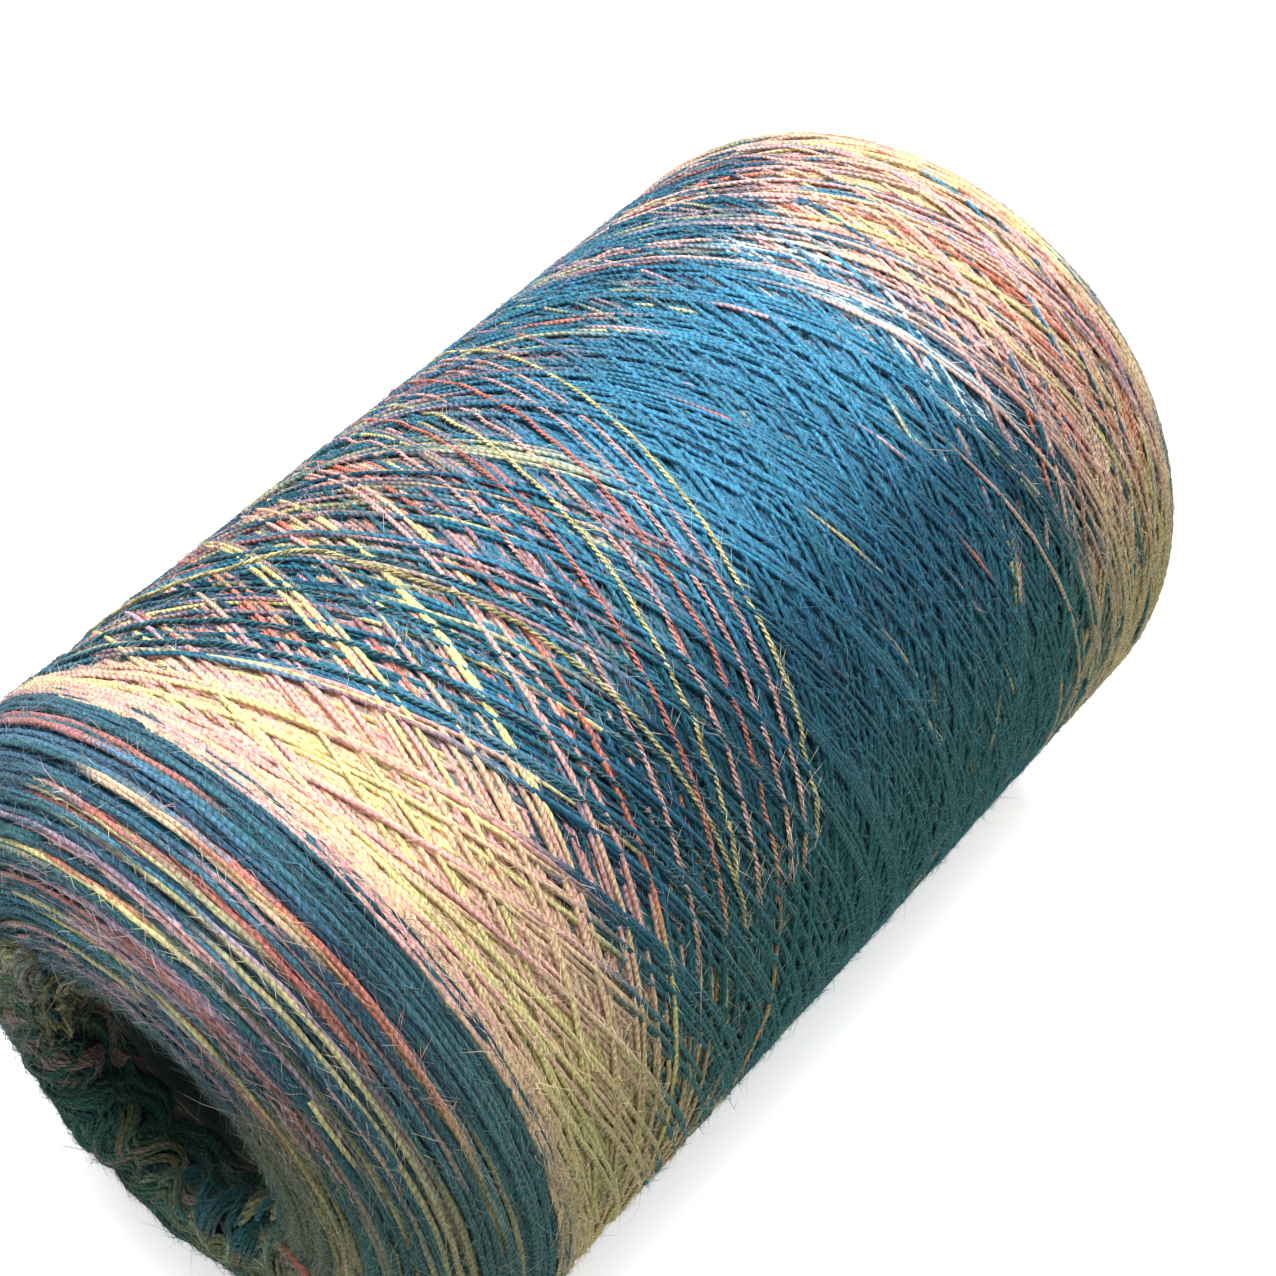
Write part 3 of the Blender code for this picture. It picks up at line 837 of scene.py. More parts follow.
def ply_group():
    """Group that turns length and turn along a strand into its two plies and loose fibre."""
    found = bpy.data.node_groups.get("Two plies")
    if found:
        return found
    group = bpy.data.node_groups.new("Two plies", "ShaderNodeTree")
    for name, way, kind in (("Length and turn", "INPUT", "Vector"), ("Turns per mm", "INPUT", "Float"),
                            ("Height", "OUTPUT", "Float"), ("Groove", "OUTPUT", "Float"),
                            ("Fibre", "OUTPUT", "Float")):
        group.interface.new_socket(name, in_out=way, socket_type="NodeSocket" + kind)
    start = node(group, "NodeGroupInput", (-900, 0))
    split = node(group, "SeparateXYZ", (-700, 100), {0: start.outputs[0]})
    length, turn = split.outputs[0], split.outputs[1]
    along = node(group, "Math", (-500, 100), {0: length, 1: start.outputs[1]}, operation="MULTIPLY")
    both = node(group, "Math", (-340, 100), {0: along.outputs[0], 1: turn}, operation="ADD")
    phase = node(group, "Math", (-180, 100), {0: both.outputs[0], 1: 2.0 * pi}, operation="MULTIPLY")
    wave = node(group, "Math", (-20, 100), {0: phase.outputs[0]}, operation="SINE")
    lobes = node(group, "Math", (140, 100), {0: wave.outputs[0]}, operation="ABSOLUTE")
    groove = node(group, "MapRange", (300, 220), interpolation_type="SMOOTHSTEP")
    feed(group, groove, {"From Min": 0.55, "From Max": 0.05, "Value": lobes.outputs[0]})
    lean = node(group, "Math", (-500, -160), {0: length, 1: 0.10, 2: turn}, operation="MULTIPLY_ADD")
    slanted = node(group, "CombineXYZ", (-340, -160), {0: length, 1: lean.outputs[0]})
    stretch = node(group, "VectorMath", (-180, -160), {0: slanted.outputs[0], 1: (0.34, 1.9, 0.0)},
                   operation="MULTIPLY")
    fibre = node(group, "TexNoise", (0, -160), {"Scale": 3.2, "Detail": 4.0, "Roughness": 0.75,
                                                "Vector": stretch.outputs[0]}, noise_dimensions="2D")
    mix = node(group, "Math", (400, 0), {0: fibre.outputs["Fac"], 1: 0.90, 2: lobes.outputs[0]},
               operation="MULTIPLY_ADD")
    node(group, "NodeGroupOutput", (700, 0),
         {"Height": mix.outputs[0], "Groove": groove.outputs[0], "Fibre": fibre.outputs["Fac"]})
    return group


def yarn_material(name, groove_shade, sheen):
    """Two-ply yarn in the colour of its dye attribute, with painted shade in the grooves between its plies.
    """
    found = bpy.data.materials.get(name)
    if found:
        return found
    sizes = settings()[0]
    made, tree, shader = new_material(name, {
        "Roughness": 0.92, "Specular IOR Level": 0.10, "Sheen Weight": sheen, "Sheen Roughness": 0.45,
        "Sheen Tint": (0.85, 0.90, 1.0, 1.0)})
    dye = node(tree, "VertexColor", (-900, 200), layer_name="Dye")
    strand = node(tree, "UVMap", (-1100, -100), uv_map="Strand")
    plies = node(tree, "Group", (-900, -100), node_tree=ply_group())
    feed(tree, plies, {"Turns per mm": 0.5 / (sizes.ply_pitch * 500.0), "Length and turn": strand.outputs[0]})
    light = node(tree, "MapRange", (-700, -260), {"From Min": 0.32, "From Max": 0.68, "To Min": 0.40,
                                                  "To Max": 1.62, "Value": plies.outputs["Fibre"]})
    # Painted shade: the colour is darkened in the grooves between the plies.
    dark = node(tree, "MapRange", (-700, 0), {"To Min": 1.0, "To Max": 1.0 - groove_shade,
                                              "Value": plies.outputs["Groove"]})
    both = node(tree, "Math", (-500, -100), {0: light.outputs[0], 1: dark.outputs[0]}, operation="MULTIPLY")
    grey = node(tree, "RGBToBW", (-700, 260), {0: dye.outputs["Color"]})
    calm = node(tree, "Mix", (-420, 60), {0: grey.outputs[0], 2: both.outputs[0], 3: 1.0}, data_type="FLOAT")
    tint = node(tree, "VectorMath", (-300, 100), {0: dye.outputs["Color"], "Scale": calm.outputs[0]},
                operation="SCALE")
    bump = node(tree, "Bump", (-300, -300), {"Strength": 0.9, "Distance": 0.00020,
                                             "Height": plies.outputs["Height"]})
    feed(tree, shader, {"Base Color": tint.outputs[0], "Normal": bump.outputs[0]})
    return made


def plain_yarn():
    """The yarn of everything but the barrel and the separate passes."""
    return yarn_material("yarn", 0.45, 0.15)


# ---------------------------------------------------------------- operators

class YarnOperator:
    """What the operators share."""
    bl_options = {"REGISTER", "UNDO"}


class YARN_OT_stage(YarnOperator, bpy.types.Operator):
    """Adds the camera, the lamps and a plain pale table"""
    bl_idname = "yarn.stage"
    bl_label = "Stage"

    def execute(self, context):
        stage = settings()[2]
        self.camera(stage)
        self.table()
        self.lamps()
        self.world(context.scene)
        context.scene.view_settings.view_transform = "Standard"
        return {"FINISHED"}

    def camera(self, stage):
        data = bpy.data.cameras.new("view")
        data.sensor_width = 36.0
        data.lens = stage.lens
        data.clip_start, data.clip_end = 0.01, 20.0
        eye = bpy.data.objects.new("view", data)
        bpy.context.scene.collection.objects.link(eye)
        a, e = stage.azimuth, stage.elevation
        back = Vector((sin(a) * cos(e), -cos(a) * cos(e), sin(e)))
        right = Vector((cos(a), sin(a), 0.0))
        up = back.cross(right)
        middle = NOSE + AXIS * (0.5 * WINDING_LENGTH)
        place = middle + back * stage.distance + right * stage.aim_right + up * stage.aim_up
        turn = Matrix((right, up, back)).transposed().to_4x4()
        eye.matrix_world = Matrix.Translation(place) @ turn
        bpy.context.scene.camera = eye

    def table(self):
        bpy.ops.object.select_all(action="DESELECT")
        bpy.ops.mesh.primitive_plane_add(size=8.0, location=(0.0, 0.0, -0.0001))
        table = bpy.context.object
        table.name = "table"
        made, tree, shader = new_material("table white", {
            "Base Color": (0.80, 0.80, 0.80, 1.0), "Roughness": 0.9})
        lift = node(tree, "Math", (-120, -200), {0: seen_directly(tree, (-500, -200)), 1: 0.66},
                    operation="MULTIPLY")
        glow = node(tree, "Emission", (100, -200), {"Strength": lift.outputs[0]})
        both = node(tree, "AddShader", (400, 0), {0: shader.outputs[0], 1: glow.outputs[0]})
        feed(tree, tree.nodes["Material Output"], {"Surface": both.outputs[0]})
        table.data.materials.append(made)

    def lamps(self):
        for name, place, size, power in (("top", (0.03, 0.06, 0.90), 0.70, 17.5),
                                         ("fill", (0.10, -0.95, 0.35), 0.80, 0.9)):
            data = bpy.data.lights.new(name, "AREA")
            data.size = size
            data.energy = power
            lamp = bpy.data.objects.new(name, data)
            bpy.context.scene.collection.objects.link(lamp)
            lamp.location = place
            aim = Vector((0.0, 0.0, 0.05)) - Vector(place)
            lamp.rotation_euler = aim.to_track_quat("-Z", "Y").to_euler()

    def world(self, scene):
        world = bpy.data.worlds.new("room")
        scene.world = world
        world.use_nodes = True
        tree = world.node_tree
        tree.nodes.clear()
        shown = seen_directly(tree, (-600, 200))
        room = node(tree, "Background", (-200, 0), {"Color": (0.92, 0.97, 1.0, 1.0), "Strength": 0.15})
        white = node(tree, "Background", (-200, -150), {"Color": (1.0, 1.0, 1.0, 1.0), "Strength": 1.0})
        mix = node(tree, "MixShader", (0, 0), {0: shown, 1: room.outputs[0], 2: white.outputs[0]})
        node(tree, "OutputWorld", (200, 0), {0: mix.outputs[0]})


PIECE_LIMIT = 185000           # triangles after which a piece is closed and the next one begun
SEEN_SLACK = 0.00042           # cover that a strand may have and still be made
SEEN_SPARE = 5                 # samples made past both ends of what is seen
RISE, DIP = 0.00045, 0.00058   # most that a strand's middle stands over the skin, or lies under it


def lay_strands(group, level, every, sides=5):
    """Makes a group's strands, as pieces that each stay under the limit of triangles."""
    found = wound()
    sizes = settings()[0]
    yarn = yarn_material("barrel yarn", 0.20, 0.07) if group == "barrel" else plain_yarn()
    uneven = np.random.default_rng(21)
    gathered, number = StrandMesh(sides), 0

    def close():
        nonlocal gathered, number
        number += 1
        finish_piece(gathered.build(f"{group}_strands_{number}"), yarn, WINDING, "yarn_teal")
        gathered = StrandMesh(sides)

    for strand in found["groups"][group]:
        for low, high in shown_runs(strand, level, SEEN_SLACK, SEEN_SPARE):
            keep = low + thin(high - low, every)
            at, angle = strand.at[keep], strand.angle[keep]
            height = level.lift(at, angle, strand.height[keep], RISE, DIP)
            height = height + sink_ends(high - low, 0.0004, 7.0)[keep - low]
            at = at + uneven.normal(0.0, 0.00007, len(at))
            height = height + uneven.normal(0.0, 0.00005, len(at))
            thick = 0.5 * sizes.yarn * uneven.normal(1.07, 0.09, len(at)).clip(0.85, 1.3)
            points, normals = SKIN.place(at, angle, height - 0.10 * sizes.yarn)
            points = keep_above_table(points, 0.62 * sizes.yarn)
            gathered.add(points, normals, thick, strand.colours[keep])
            hairiness = (3 if at.mean() < 0.006 else 2) if group == "nose" else 1
            found["seeds"] += hairiness * [(points, normals, strand.colours[keep])]
        if gathered.faces() > PIECE_LIMIT:
            close()
    if gathered.counts:
        close()


class YARN_OT_winding(YarnOperator, bpy.types.Operator):
    """Winds the skin of the package: nose face, barrel and base face"""
    bl_idname = "yarn.winding"
    bl_label = "Winding"

    def execute(self, context):
        found = wound()
        every = settings()[0].segment / SAMPLE
        lay_strands("nose", found["faces"], 0.7 * every)
        lay_strands("base", found["faces"], every, sides=4)
        lay_strands("barrel", found["barrel"], every, sides=4)
        return {"FINISHED"}


def plied_piece(name, points, normals, colours):
    """A strand with its two plies twisted round each other, as two closed tubes in one mesh."""
    sizes = settings()[0]
    step = np.linalg.norm(np.diff(points, axis=0), axis=1)
    length = np.r_[0.0, np.cumsum(step)]
    count = int(length[-1] / (sizes.ply_pitch / 6.0))
    at = np.linspace(0.0, length[-1], count)
    line, up, dye = (np.stack([np.interp(at, length, rows[:, k]) for k in range(3)], 1)
                     for rows in (points, normals, colours))
    up = unit(up)
    tangent = unit(np.gradient(line, axis=0))
    side = unit(np.cross(tangent, up))
    lift = np.cross(side, tangent)
    gathered = StrandMesh(6)
    ends = np.minimum(np.arange(count), count - 1 - np.arange(count))
    taper = 0.35 + 0.65 * ramp(ends, 0.0, 6.0)
    for ply in range(2):
        turn = 2.0 * pi * at / sizes.ply_pitch + ply * pi
        out = np.cos(turn)[:, None] * side + np.sin(turn)[:, None] * lift
        gathered.add(line + out * 0.24 * sizes.yarn, out, 0.27 * sizes.yarn * taper, dye)
    piece = gathered.build(name, 1.0)
    return finish_piece(piece, yarn_material("ply", 0.10, 0.30), WINDING, "yarn_teal")


class YARN_OT_passes(YarnOperator, bpy.types.Operator):
    """Lays the last passes and the loose one over the skin"""
    bl_idname = "yarn.passes"
    bl_label = "Last passes"

    def execute(self, context):
        found = wound()
        rng = np.random.default_rng(41)
        level = found["barrel"]
        for number, strand in enumerate(found["groups"]["pass"] + found["groups"]["loose"], 1):
            loose = number > len(OUTER_PASSES)
            height = level.lift(strand.at, strand.angle, strand.height, 0.0006, 0.0008)
            height = height + sink_ends(len(height), 0.0009, 26.0)
            if loose:
                height = height + found["loose lift"]
            points, normals = SKIN.place(strand.at, strand.angle, height)
            for axis in range(3):
                points[:, axis] += wander(rng, len(points), 12, 0.00006)
            name = "loose_pass" if loose else f"last_pass_{number:02d}"
            colours = strand.colours * (1.0 + wander(rng, len(points), 14, 0.10)[:, None])
            piece = plied_piece(name, points, normals, colours)
            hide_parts("loose_outer_pass" if loose else f"outer_pass_{number:02d}")
            keep = thin(len(points), 5)
            found["seeds"] += 2 * [(points[keep], normals[keep], colours[keep])]
        return {"FINISHED"}


# The mouth, from the core's end out to the lip: radius and distance from the nose plane
MOUTH = Meridian([(0.0200, 0.0094), (0.0212, 0.0086), (0.0220, 0.0074), (0.0222, 0.0040), (0.0217, 0.0012)])

# What the folds lie on: from deep in the mouth over the lip and out over the nose face
FOLDED = Meridian([(0.0212, 0.0086), (0.0219, 0.0074), (0.0219, 0.0045), (0.0206, 0.0022),
                   (0.0205, 0.0008), (0.0214, -0.0001), (0.0235, -0.0003), (0.0300, -0.0001),
                   (0.0345, 0.0006), (0.0372, 0.0014)])


WALL_TURNS = 46
FOLD_BUNDLES = 40
TANGLE_STRANDS = 22
TANGLE_ANGLE = radians(306)    # round from the top, on the side where the lip shows
LOOP_ANGLE = radians(118)


class YARN_OT_mouth(YarnOperator, bpy.types.Operator):
    """Lines the mouth with turns, crimped folds, a tangle and a small loop"""
    bl_idname = "yarn.mouth"
    bl_label = "Mouth"

    def execute(self, context):
        sizes = settings()[0]
        dyer = Dyer(52)
        rng = np.random.default_rng(51)
        wall = StrandMesh(5)
        level = HeightMap(MOUTH, sizes.yarn * 0.45)
        for _ in range(WALL_TURNS):
            middle = rng.uniform(0.0005, MOUTH.total - 0.0002)
            turn = rng.uniform(0.7, 1.9) * pi
            count = int(turn * 0.0215 / SAMPLE)
            part = np.linspace(-0.5, 0.5, count)
            at = np.clip(middle + part * rng.normal(0.0, 0.0012) + wander(rng, count, 20, 0.0003),
                         0.0002, MOUTH.total)
            angle = rng.uniform(0.0, 2.0 * pi) + turn * part
            height = level.rest(at, angle, 4) * 0.8
            self.add(wall, at, angle, height, self.dark(rng, dyer, count), 2)
        finish_piece(wall.build("mouth_wall"), plain_yarn(), WINDING, "yarn_teal")
        folds = StrandMesh(5)
        names = ("olive", "green", "teal", "pink", "green", "yellow", "green", "olive")
        for number in range(FOLD_BUNDLES):
            inside = number % 5 < 2
            spread = (number * 0.618034) % 1.0 - 0.5
            if inside:
                middle, centre = rng.uniform(0.0016, 0.0060), 205 + 200 * spread
            else:
                middle, centre = rng.uniform(0.0070, 0.0150), 238 + 150 * spread
            turn = rng.uniform(0.26, 0.52) * pi
            radius = 0.0210 if inside else 0.0250
            count = int(turn * radius / 0.0003)
            part = np.linspace(-0.5, 0.5, count)
            angle = radians(centre) + turn * part
            phase = 2.0 * pi * part * turn * radius / rng.uniform(0.0085, 0.0130) + rng.uniform(0.0, 6.3)
            swing = rng.uniform(0.0011, 0.0022)
            strands = int(rng.integers(6, 11))
            share = rng.choice((0.30, 0.55, 0.85)) * window(part, -0.38, 0.38, 0.12)
            lie = rng.uniform(0.0002, 0.0010)
            for strand in range(strands):
                at = middle + (strand - 0.5 * strands) * 0.00046 + wander(rng, count, 24, 0.00011)
                at = at + swing * np.sin(phase + 0.09 * strand)
                height = lie + 0.0011 * sin(pi * (strand + 0.5) / strands)
                height = height + 0.0007 * np.sin(0.5 * phase + number)
                height = height + wander(rng, count, 20, 0.00012) + sink_ends(count, 0.0024, 14.0)
                colours = self.dark(rng, dyer, count, 0.2)
                dyed = dyer.dye[names[number % 8]][None] * rng.uniform(0.45, 0.80)
                colours = blend(colours, dyed, share * rng.uniform(0.4, 1.0))
                self.add(folds, np.clip(at, 0.0, FOLDED.total), angle, height, colours, 3, FOLDED)
        finish_piece(folds.build("mouth_crimps"), plain_yarn(), WINDING, "yarn_teal", "mouth_folds")
        self.tangle(rng, dyer)
        self.loop(rng, dyer)
        return {"FINISHED"}

    def dark(self, rng, dyer, count, warm=0.12):
        """Colours of one strand deep in the mouth."""
        base = dyer.dye["green" if rng.random() < 0.7 else "teal"] * rng.uniform(0.4, 1.1)
        out = np.repeat(base[None], count, 0) * np.array((1.25, 1.0, 0.68))
        if rng.random() < warm:
            name = ("pink", "olive", "yellow", "lilac")[rng.integers(0, 4)]
            share = ramp(wander(rng, count, 30, 1.0), -0.3, 0.5) * 0.6
            out = blend(out, dyer.dye[name][None] * 0.6, share)
        return out

    def add(self, gathered, at, angle, height, colours, every, surface=None):
        """Adds a strand on the mouth's wall, or on another surface, to a mesh and to what fuzz grows on."""
        keep = thin(len(at), every)
        height = np.broadcast_to(height, at.shape)[keep] + 0.0003
        points, normals = (surface or MOUTH).place(at[keep], angle[keep], height)
        gathered.add(points, normals, 0.5 * settings()[0].yarn, colours[keep])
        wound()["seeds"] += 2 * [(points, normals, colours[keep])]

    def tangle(self, rng, dyer):
        """A soft olive tangle where strands have slipped off the lip."""
        gathered = StrandMesh(5)
        centre = SKIN.place(np.array((0.0030,)), np.array((TANGLE_ANGLE,)), np.array((0.0,)))[0]
        along = unit(np.array(AXIS))[None]
        for number in range(TANGLE_STRANDS):
            count = 150
            walk = np.stack([wander(rng, count, 9, 1.0) for _ in range(3)], 1)
            ring = np.array((cos(TANGLE_ANGLE), 0.0, 0.0)) - np.array(UP) * sin(TANGLE_ANGLE)
            inward = -(sin(TANGLE_ANGLE) * np.array((1.0, 0.0, 0.0)) + cos(TANGLE_ANGLE) * np.array(UP))
            points = (centre + 0.0012 * inward + 0.0004 * along + walk[:, :1] * 0.0042 * ring
                      + walk[:, 1:2] * 0.0024 * inward + walk[:, 2:] * 0.0013 * along)
            name = "olive" if number % 3 else "green"
            colours = np.repeat(dyer.dye[name][None], count, 0) * rng.uniform(0.35, 0.75)
            normals = np.repeat(unit(inward - along[0])[None], count, 0)
            gathered.add(points, normals, 0.42 * settings()[0].yarn, colours)
            wound()["seeds"] += 4 * [(points[::3], normals[::3], colours[::3] * 1.1)]
        finish_piece(gathered.build("mouth_tangle"), plain_yarn(), WINDING, "yarn_teal")

    def loop(self, rng, dyer):
        """A small coral loop that stands off the lower lip."""
        angle = LOOP_ANGLE
        ring = np.array((cos(angle), 0.0, 0.0)) - np.array(UP) * sin(angle)
        radial = sin(angle) * np.array((1.0, 0.0, 0.0)) + cos(angle) * np.array(UP)
        centre = np.array(NOSE) + 0.0252 * radial - 0.0006 * np.array(AXIS)
        turn = np.linspace(radians(-70), radians(330), 90)
        points = (centre + 0.0017 * np.cos(turn)[:, None] * ring + 0.0023 * np.sin(turn)[:, None] * radial
                  - 0.0007 * np.sin(turn * 0.5)[:, None] * np.array(AXIS))
        colours = blend(dyer.dye["salmon"][None] * 0.8, dyer.dye["olive"][None],
                        ramp(turn, radians(160), radians(300)))
        normals = np.repeat(-np.array(AXIS)[None], len(turn), 0)
        plied_piece("lip_loop", points, normals, colours)
        wound()["seeds"] += 6 * [(points[::3], normals[::3], colours[::3])]


BORE_PASSES = 64


class YARN_OT_bore(YarnOperator, bpy.types.Operator):
    """Lines the bore with the first turns that were wound on the core"""
    bl_idname = "yarn.bore"
    bl_label = "Bore"

    def execute(self, context):
        sizes = settings()[0]
        dyer = Dyer(62)
        rng = np.random.default_rng(61)
        clear = BORE_GAP + 0.5 * sizes.yarn
        low, high = 0.0085, WINDING_LENGTH - 0.0006
        bore = Meridian([(core_radius(high) + clear, high), (core_radius(low) + clear, low)])
        gathered = StrandMesh(4)
        for number in range(BORE_PASSES):
            direction = 1.0 if number % 2 else -1.0
            turns = bore.total / (0.026 * tan(sizes.cross_angle))
            count = int(turns * 0.026 / 0.0044)
            part = np.linspace(0.0, 1.0, count)
            at = bore.total * part
            angle = number * 2.399963 + direction * turns * part
            sunk = -0.00022 * (number % 3)
            points, normals = bore.place(at, angle, np.full(count, sunk))
            colours = np.repeat(dyer.cool_pick(0.7)[None], count, 0)
            if rng.random() < 0.25:
                warm = dyer.warm_pick("far")[None]
                colours = blend(colours, warm, ramp(wander(rng, count, 12, 1.0), 0.2, 0.8))
            gathered.add(points, normals, 0.48 * sizes.yarn, colours * 0.8)
        finish_piece(gathered.build("bore_turns"), plain_yarn(), WINDING, "yarn_teal")
        return {"FINISHED"}


class YARN_OT_core(YarnOperator, bpy.types.Operator):
    """Finishes the paper core and winds the starting turns on its bare end"""
    bl_idname = "yarn.core"
    bl_label = "Core"

    def execute(self, context):
        sizes = settings()[0]
        core = bpy.data.objects["core_cone"]
        core.data.materials.clear()
        core.data.materials.append(paper_material())
        box_low, box_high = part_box("start_turns")
        middle = 0.5 * (Vector(box_low) + Vector(box_high))
        along = (middle - NOSE).dot(AXIS)
        turns, dye = 5, Dyer(71).dye
        gathered = StrandMesh(6)
        for layer in range(2):
            count = turns * 44
            part = np.linspace(-0.5, 0.5, count)
            place = along + part * sizes.yarn * turns * (1.0 - 0.2 * layer)
            radius = np.array([core_radius(one) for one in place]) + sizes.yarn * (0.5 + 0.8 * layer) + 0.0003
            angle = part * turns * 2.0 * pi + layer
            ring = spokes(angle)
            points = np.array(NOSE) + place[:, None] * np.array(AXIS) + radius[:, None] * ring
            share = ramp(np.sin(angle * 0.21 + layer), -0.4, 0.4)
            colours = blend(dye["yellow"][None], dye["salmon"][None], share)
            gathered.add(points, ring, 0.5 * sizes.yarn, colours)
        finish_piece(gathered.build("start_coil"), plain_yarn(), CORE, "yarn_teal", "start_turns")
        return {"FINISHED"}


class YARN_OT_bed(YarnOperator, bpy.types.Operator):
    """Turns the body of yarn that lies under the skin"""
    bl_idname = "yarn.bed"
    bl_label = "Bed of the winding"

    def execute(self, context):
        sunk = 0.0006
        outline = [(LIP_RADIUS + sunk, 0.0030), (LIP_RADIUS + 2 * sunk, sunk)]
        for step in range(25):
            turn = 0.5 * pi * step / 24
            outline.append((NOSE_FLAT_RADIUS + (SHOULDER_HEIGHT - sunk) * sin(turn),
                            sunk + (SHOULDER_LENGTH - sunk) * (1.0 - cos(turn))))
        steps = 44
        low, high = SHOULDER_LENGTH, WINDING_LENGTH - BASE_ROUND
        for step in range(1, steps):
            along = low + (high - low) * step / steps
            outline.append((NOSE_RADIUS + along * SLOPE - sunk, along))
        for step in range(9):
            turn = 0.5 * pi * step / 8
            outline.append((BASE_RADIUS - BASE_ROUND + (BASE_ROUND - sunk) * cos(turn),
                            WINDING_LENGTH - BASE_ROUND + (BASE_ROUND - sunk) * sin(turn)))
        bore = BORE_GAP + sunk
        outline.append((core_radius(WINDING_LENGTH) + bore, WINDING_LENGTH - sunk))
        outline.append((core_radius(MOUTH_DEPTH) + bore, MOUTH_DEPTH + sunk))
        outline.append((LIP_RADIUS + 2 * sunk, MOUTH_DEPTH + sunk))
        piece = self.turn("winding_bed", outline, 128)
        made = bed_material()
        finish_piece(piece, made, WINDING, "yarn_teal", "inner_lay", "second_lay", "third_lay", "outer_lay")
        return {"FINISHED"}

    def turn(self, name, outline, steps):
        """A closed ring with the outline as its section."""
        shape = bmesh.new()
        angles = [2.0 * pi * step / steps for step in range(steps)]
        rings = []
        for angle in angles:
            ring = Vector((sin(angle), 0.0, 0.0)) + UP * cos(angle)
            rings.append([shape.verts.new(NOSE + AXIS * along + ring * radius) for radius, along in outline])
        for here, after in zip(rings, rings[1:] + rings[:1]):
            for low in range(len(outline)):
                high = (low + 1) % len(outline)
                shape.faces.new((here[low], here[high], after[high], after[low]))
        bmesh.ops.recalc_face_normals(shape, faces=shape.faces)
        for corner in shape.verts:
            corner.co.z = max(corner.co.z, 0.0004)
        mesh = bpy.data.meshes.new(name)
        shape.to_mesh(mesh)
        shape.free()
        mesh.shade_smooth()
        dyer = Dyer(5)
        at = np.interp([along for radius, along in outline], SKIN.along, SKIN.at)
        rgba = np.ones((steps, len(outline), 4), np.float32)
        for step, angle in enumerate(angles):
            # The bed takes the colour of the deeper yarn, with its painted shade.
            rgba[step, :, :3] = dyer.ground_in_shade(at, np.full(len(outline), angle))
        shade = mesh.color_attributes.new("Dye", "FLOAT_COLOR", "POINT")
        shade.data.foreach_set("color", rgba.ravel())
        piece = bpy.data.objects.new(name, mesh)
        bpy.context.scene.collection.objects.link(piece)
        return piece


class YARN_OT_fuzz(YarnOperator, bpy.types.Operator):
    """Raises loose fibres all over the winding"""
    bl_idname = "yarn.fuzz"
    bl_label = "Fuzz"

    def execute(self, context):
        sizes = settings()[0]
        rng = np.random.default_rng(31)
        seeds = wound()["seeds"]
        point = np.concatenate([points[:-1] for points, normals, colours in seeds])
        step = np.concatenate([np.diff(points, axis=0) for points, normals, colours in seeds])
        normal = np.concatenate([normals[:-1] for points, normals, colours in seeds])
        dye = np.concatenate([colours[:-1] for points, normals, colours in seeds])
        length_share = np.linalg.norm(step, axis=1)
        length_share /= length_share.sum()
        strands = (point, step, normal, dye, length_share)
        self.raise_fibres(rng, "short", sizes.short_fibres, 42000, strands, 0.0017, 0.50, False)
        self.raise_fibres(rng, "long", sizes.long_fibres, 18000, strands, 0.0030, 0.60, True)
        return {"FINISHED"}

    def raise_fibres(self, rng, name, total, part, strands, reach, rise, bent):
        """One kind of fibre, spread over all strands that can be seen, in pieces of part fibres."""
        point, step, normal, dye, length_share = strands
        chosen = rng.choice(len(point), total, p=length_share)
        start = point[chosen] + step[chosen] * rng.random(total)[:, None] + normal[chosen] * 0.00030
        tangent = step[chosen] / (np.linalg.norm(step[chosen], axis=1)[:, None] + 1e-12)
        tangent *= np.where(rng.random(total) < 0.5, -1.0, 1.0)[:, None]
        normal = normal[chosen]
        side = np.cross(tangent, normal)
        length = rng.gamma(4.0, 0.25 * reach, total)[:, None] + 0.0005
        lean = rng.uniform(0.10, rise, total)[:, None]
        first = unit(tangent + side * rng.normal(0.0, 0.55, total)[:, None] + normal * lean)
        turn = side * rng.normal(0.0, 0.7, total)[:, None] + normal * rng.uniform(-0.7, 0.4, total)[:, None]
        middle = start + first * length * 0.5
        tip = middle + unit(first + turn * float(bent)) * length * 0.5
        for place in (middle, tip):
            place[:, 2] = np.maximum(place[:, 2], 0.0003)
        # Painted highlight: fibres come out up to twice as light as their yarn, partly as random tone. They
        # are mixed with pale grey, less where the yarn is dark.
        lightness = np.clip(3.5 * dye[chosen].mean(1), 0.18, 1.0)[:, None]
        pale = rng.uniform(0.00, 0.28, total)[:, None] * lightness
        colours = np.minimum(dye[chosen] * rng.uniform(0.7, 2.0, total)[:, None], 0.9)
        colours = colours * (1.0 - pale) + pale * np.array((0.48, 0.60, 0.60))
        made = fibre_material()
        for number, low in enumerate(range(0, total, part), 1):
            cut = slice(low, min(total, low + part))
            piece = needle_mesh(f"fuzz_{name}_{number}", start[cut], middle[cut], tip[cut], normal[cut],
                                colours[cut], settings()[0].fibre, bent)
            finish_piece(piece, made, WINDING, "yarn_teal")


def unit(vectors):
    """Vectors brought to length one."""
    return vectors / (np.linalg.norm(vectors, axis=-1, keepdims=True) + 1e-12)


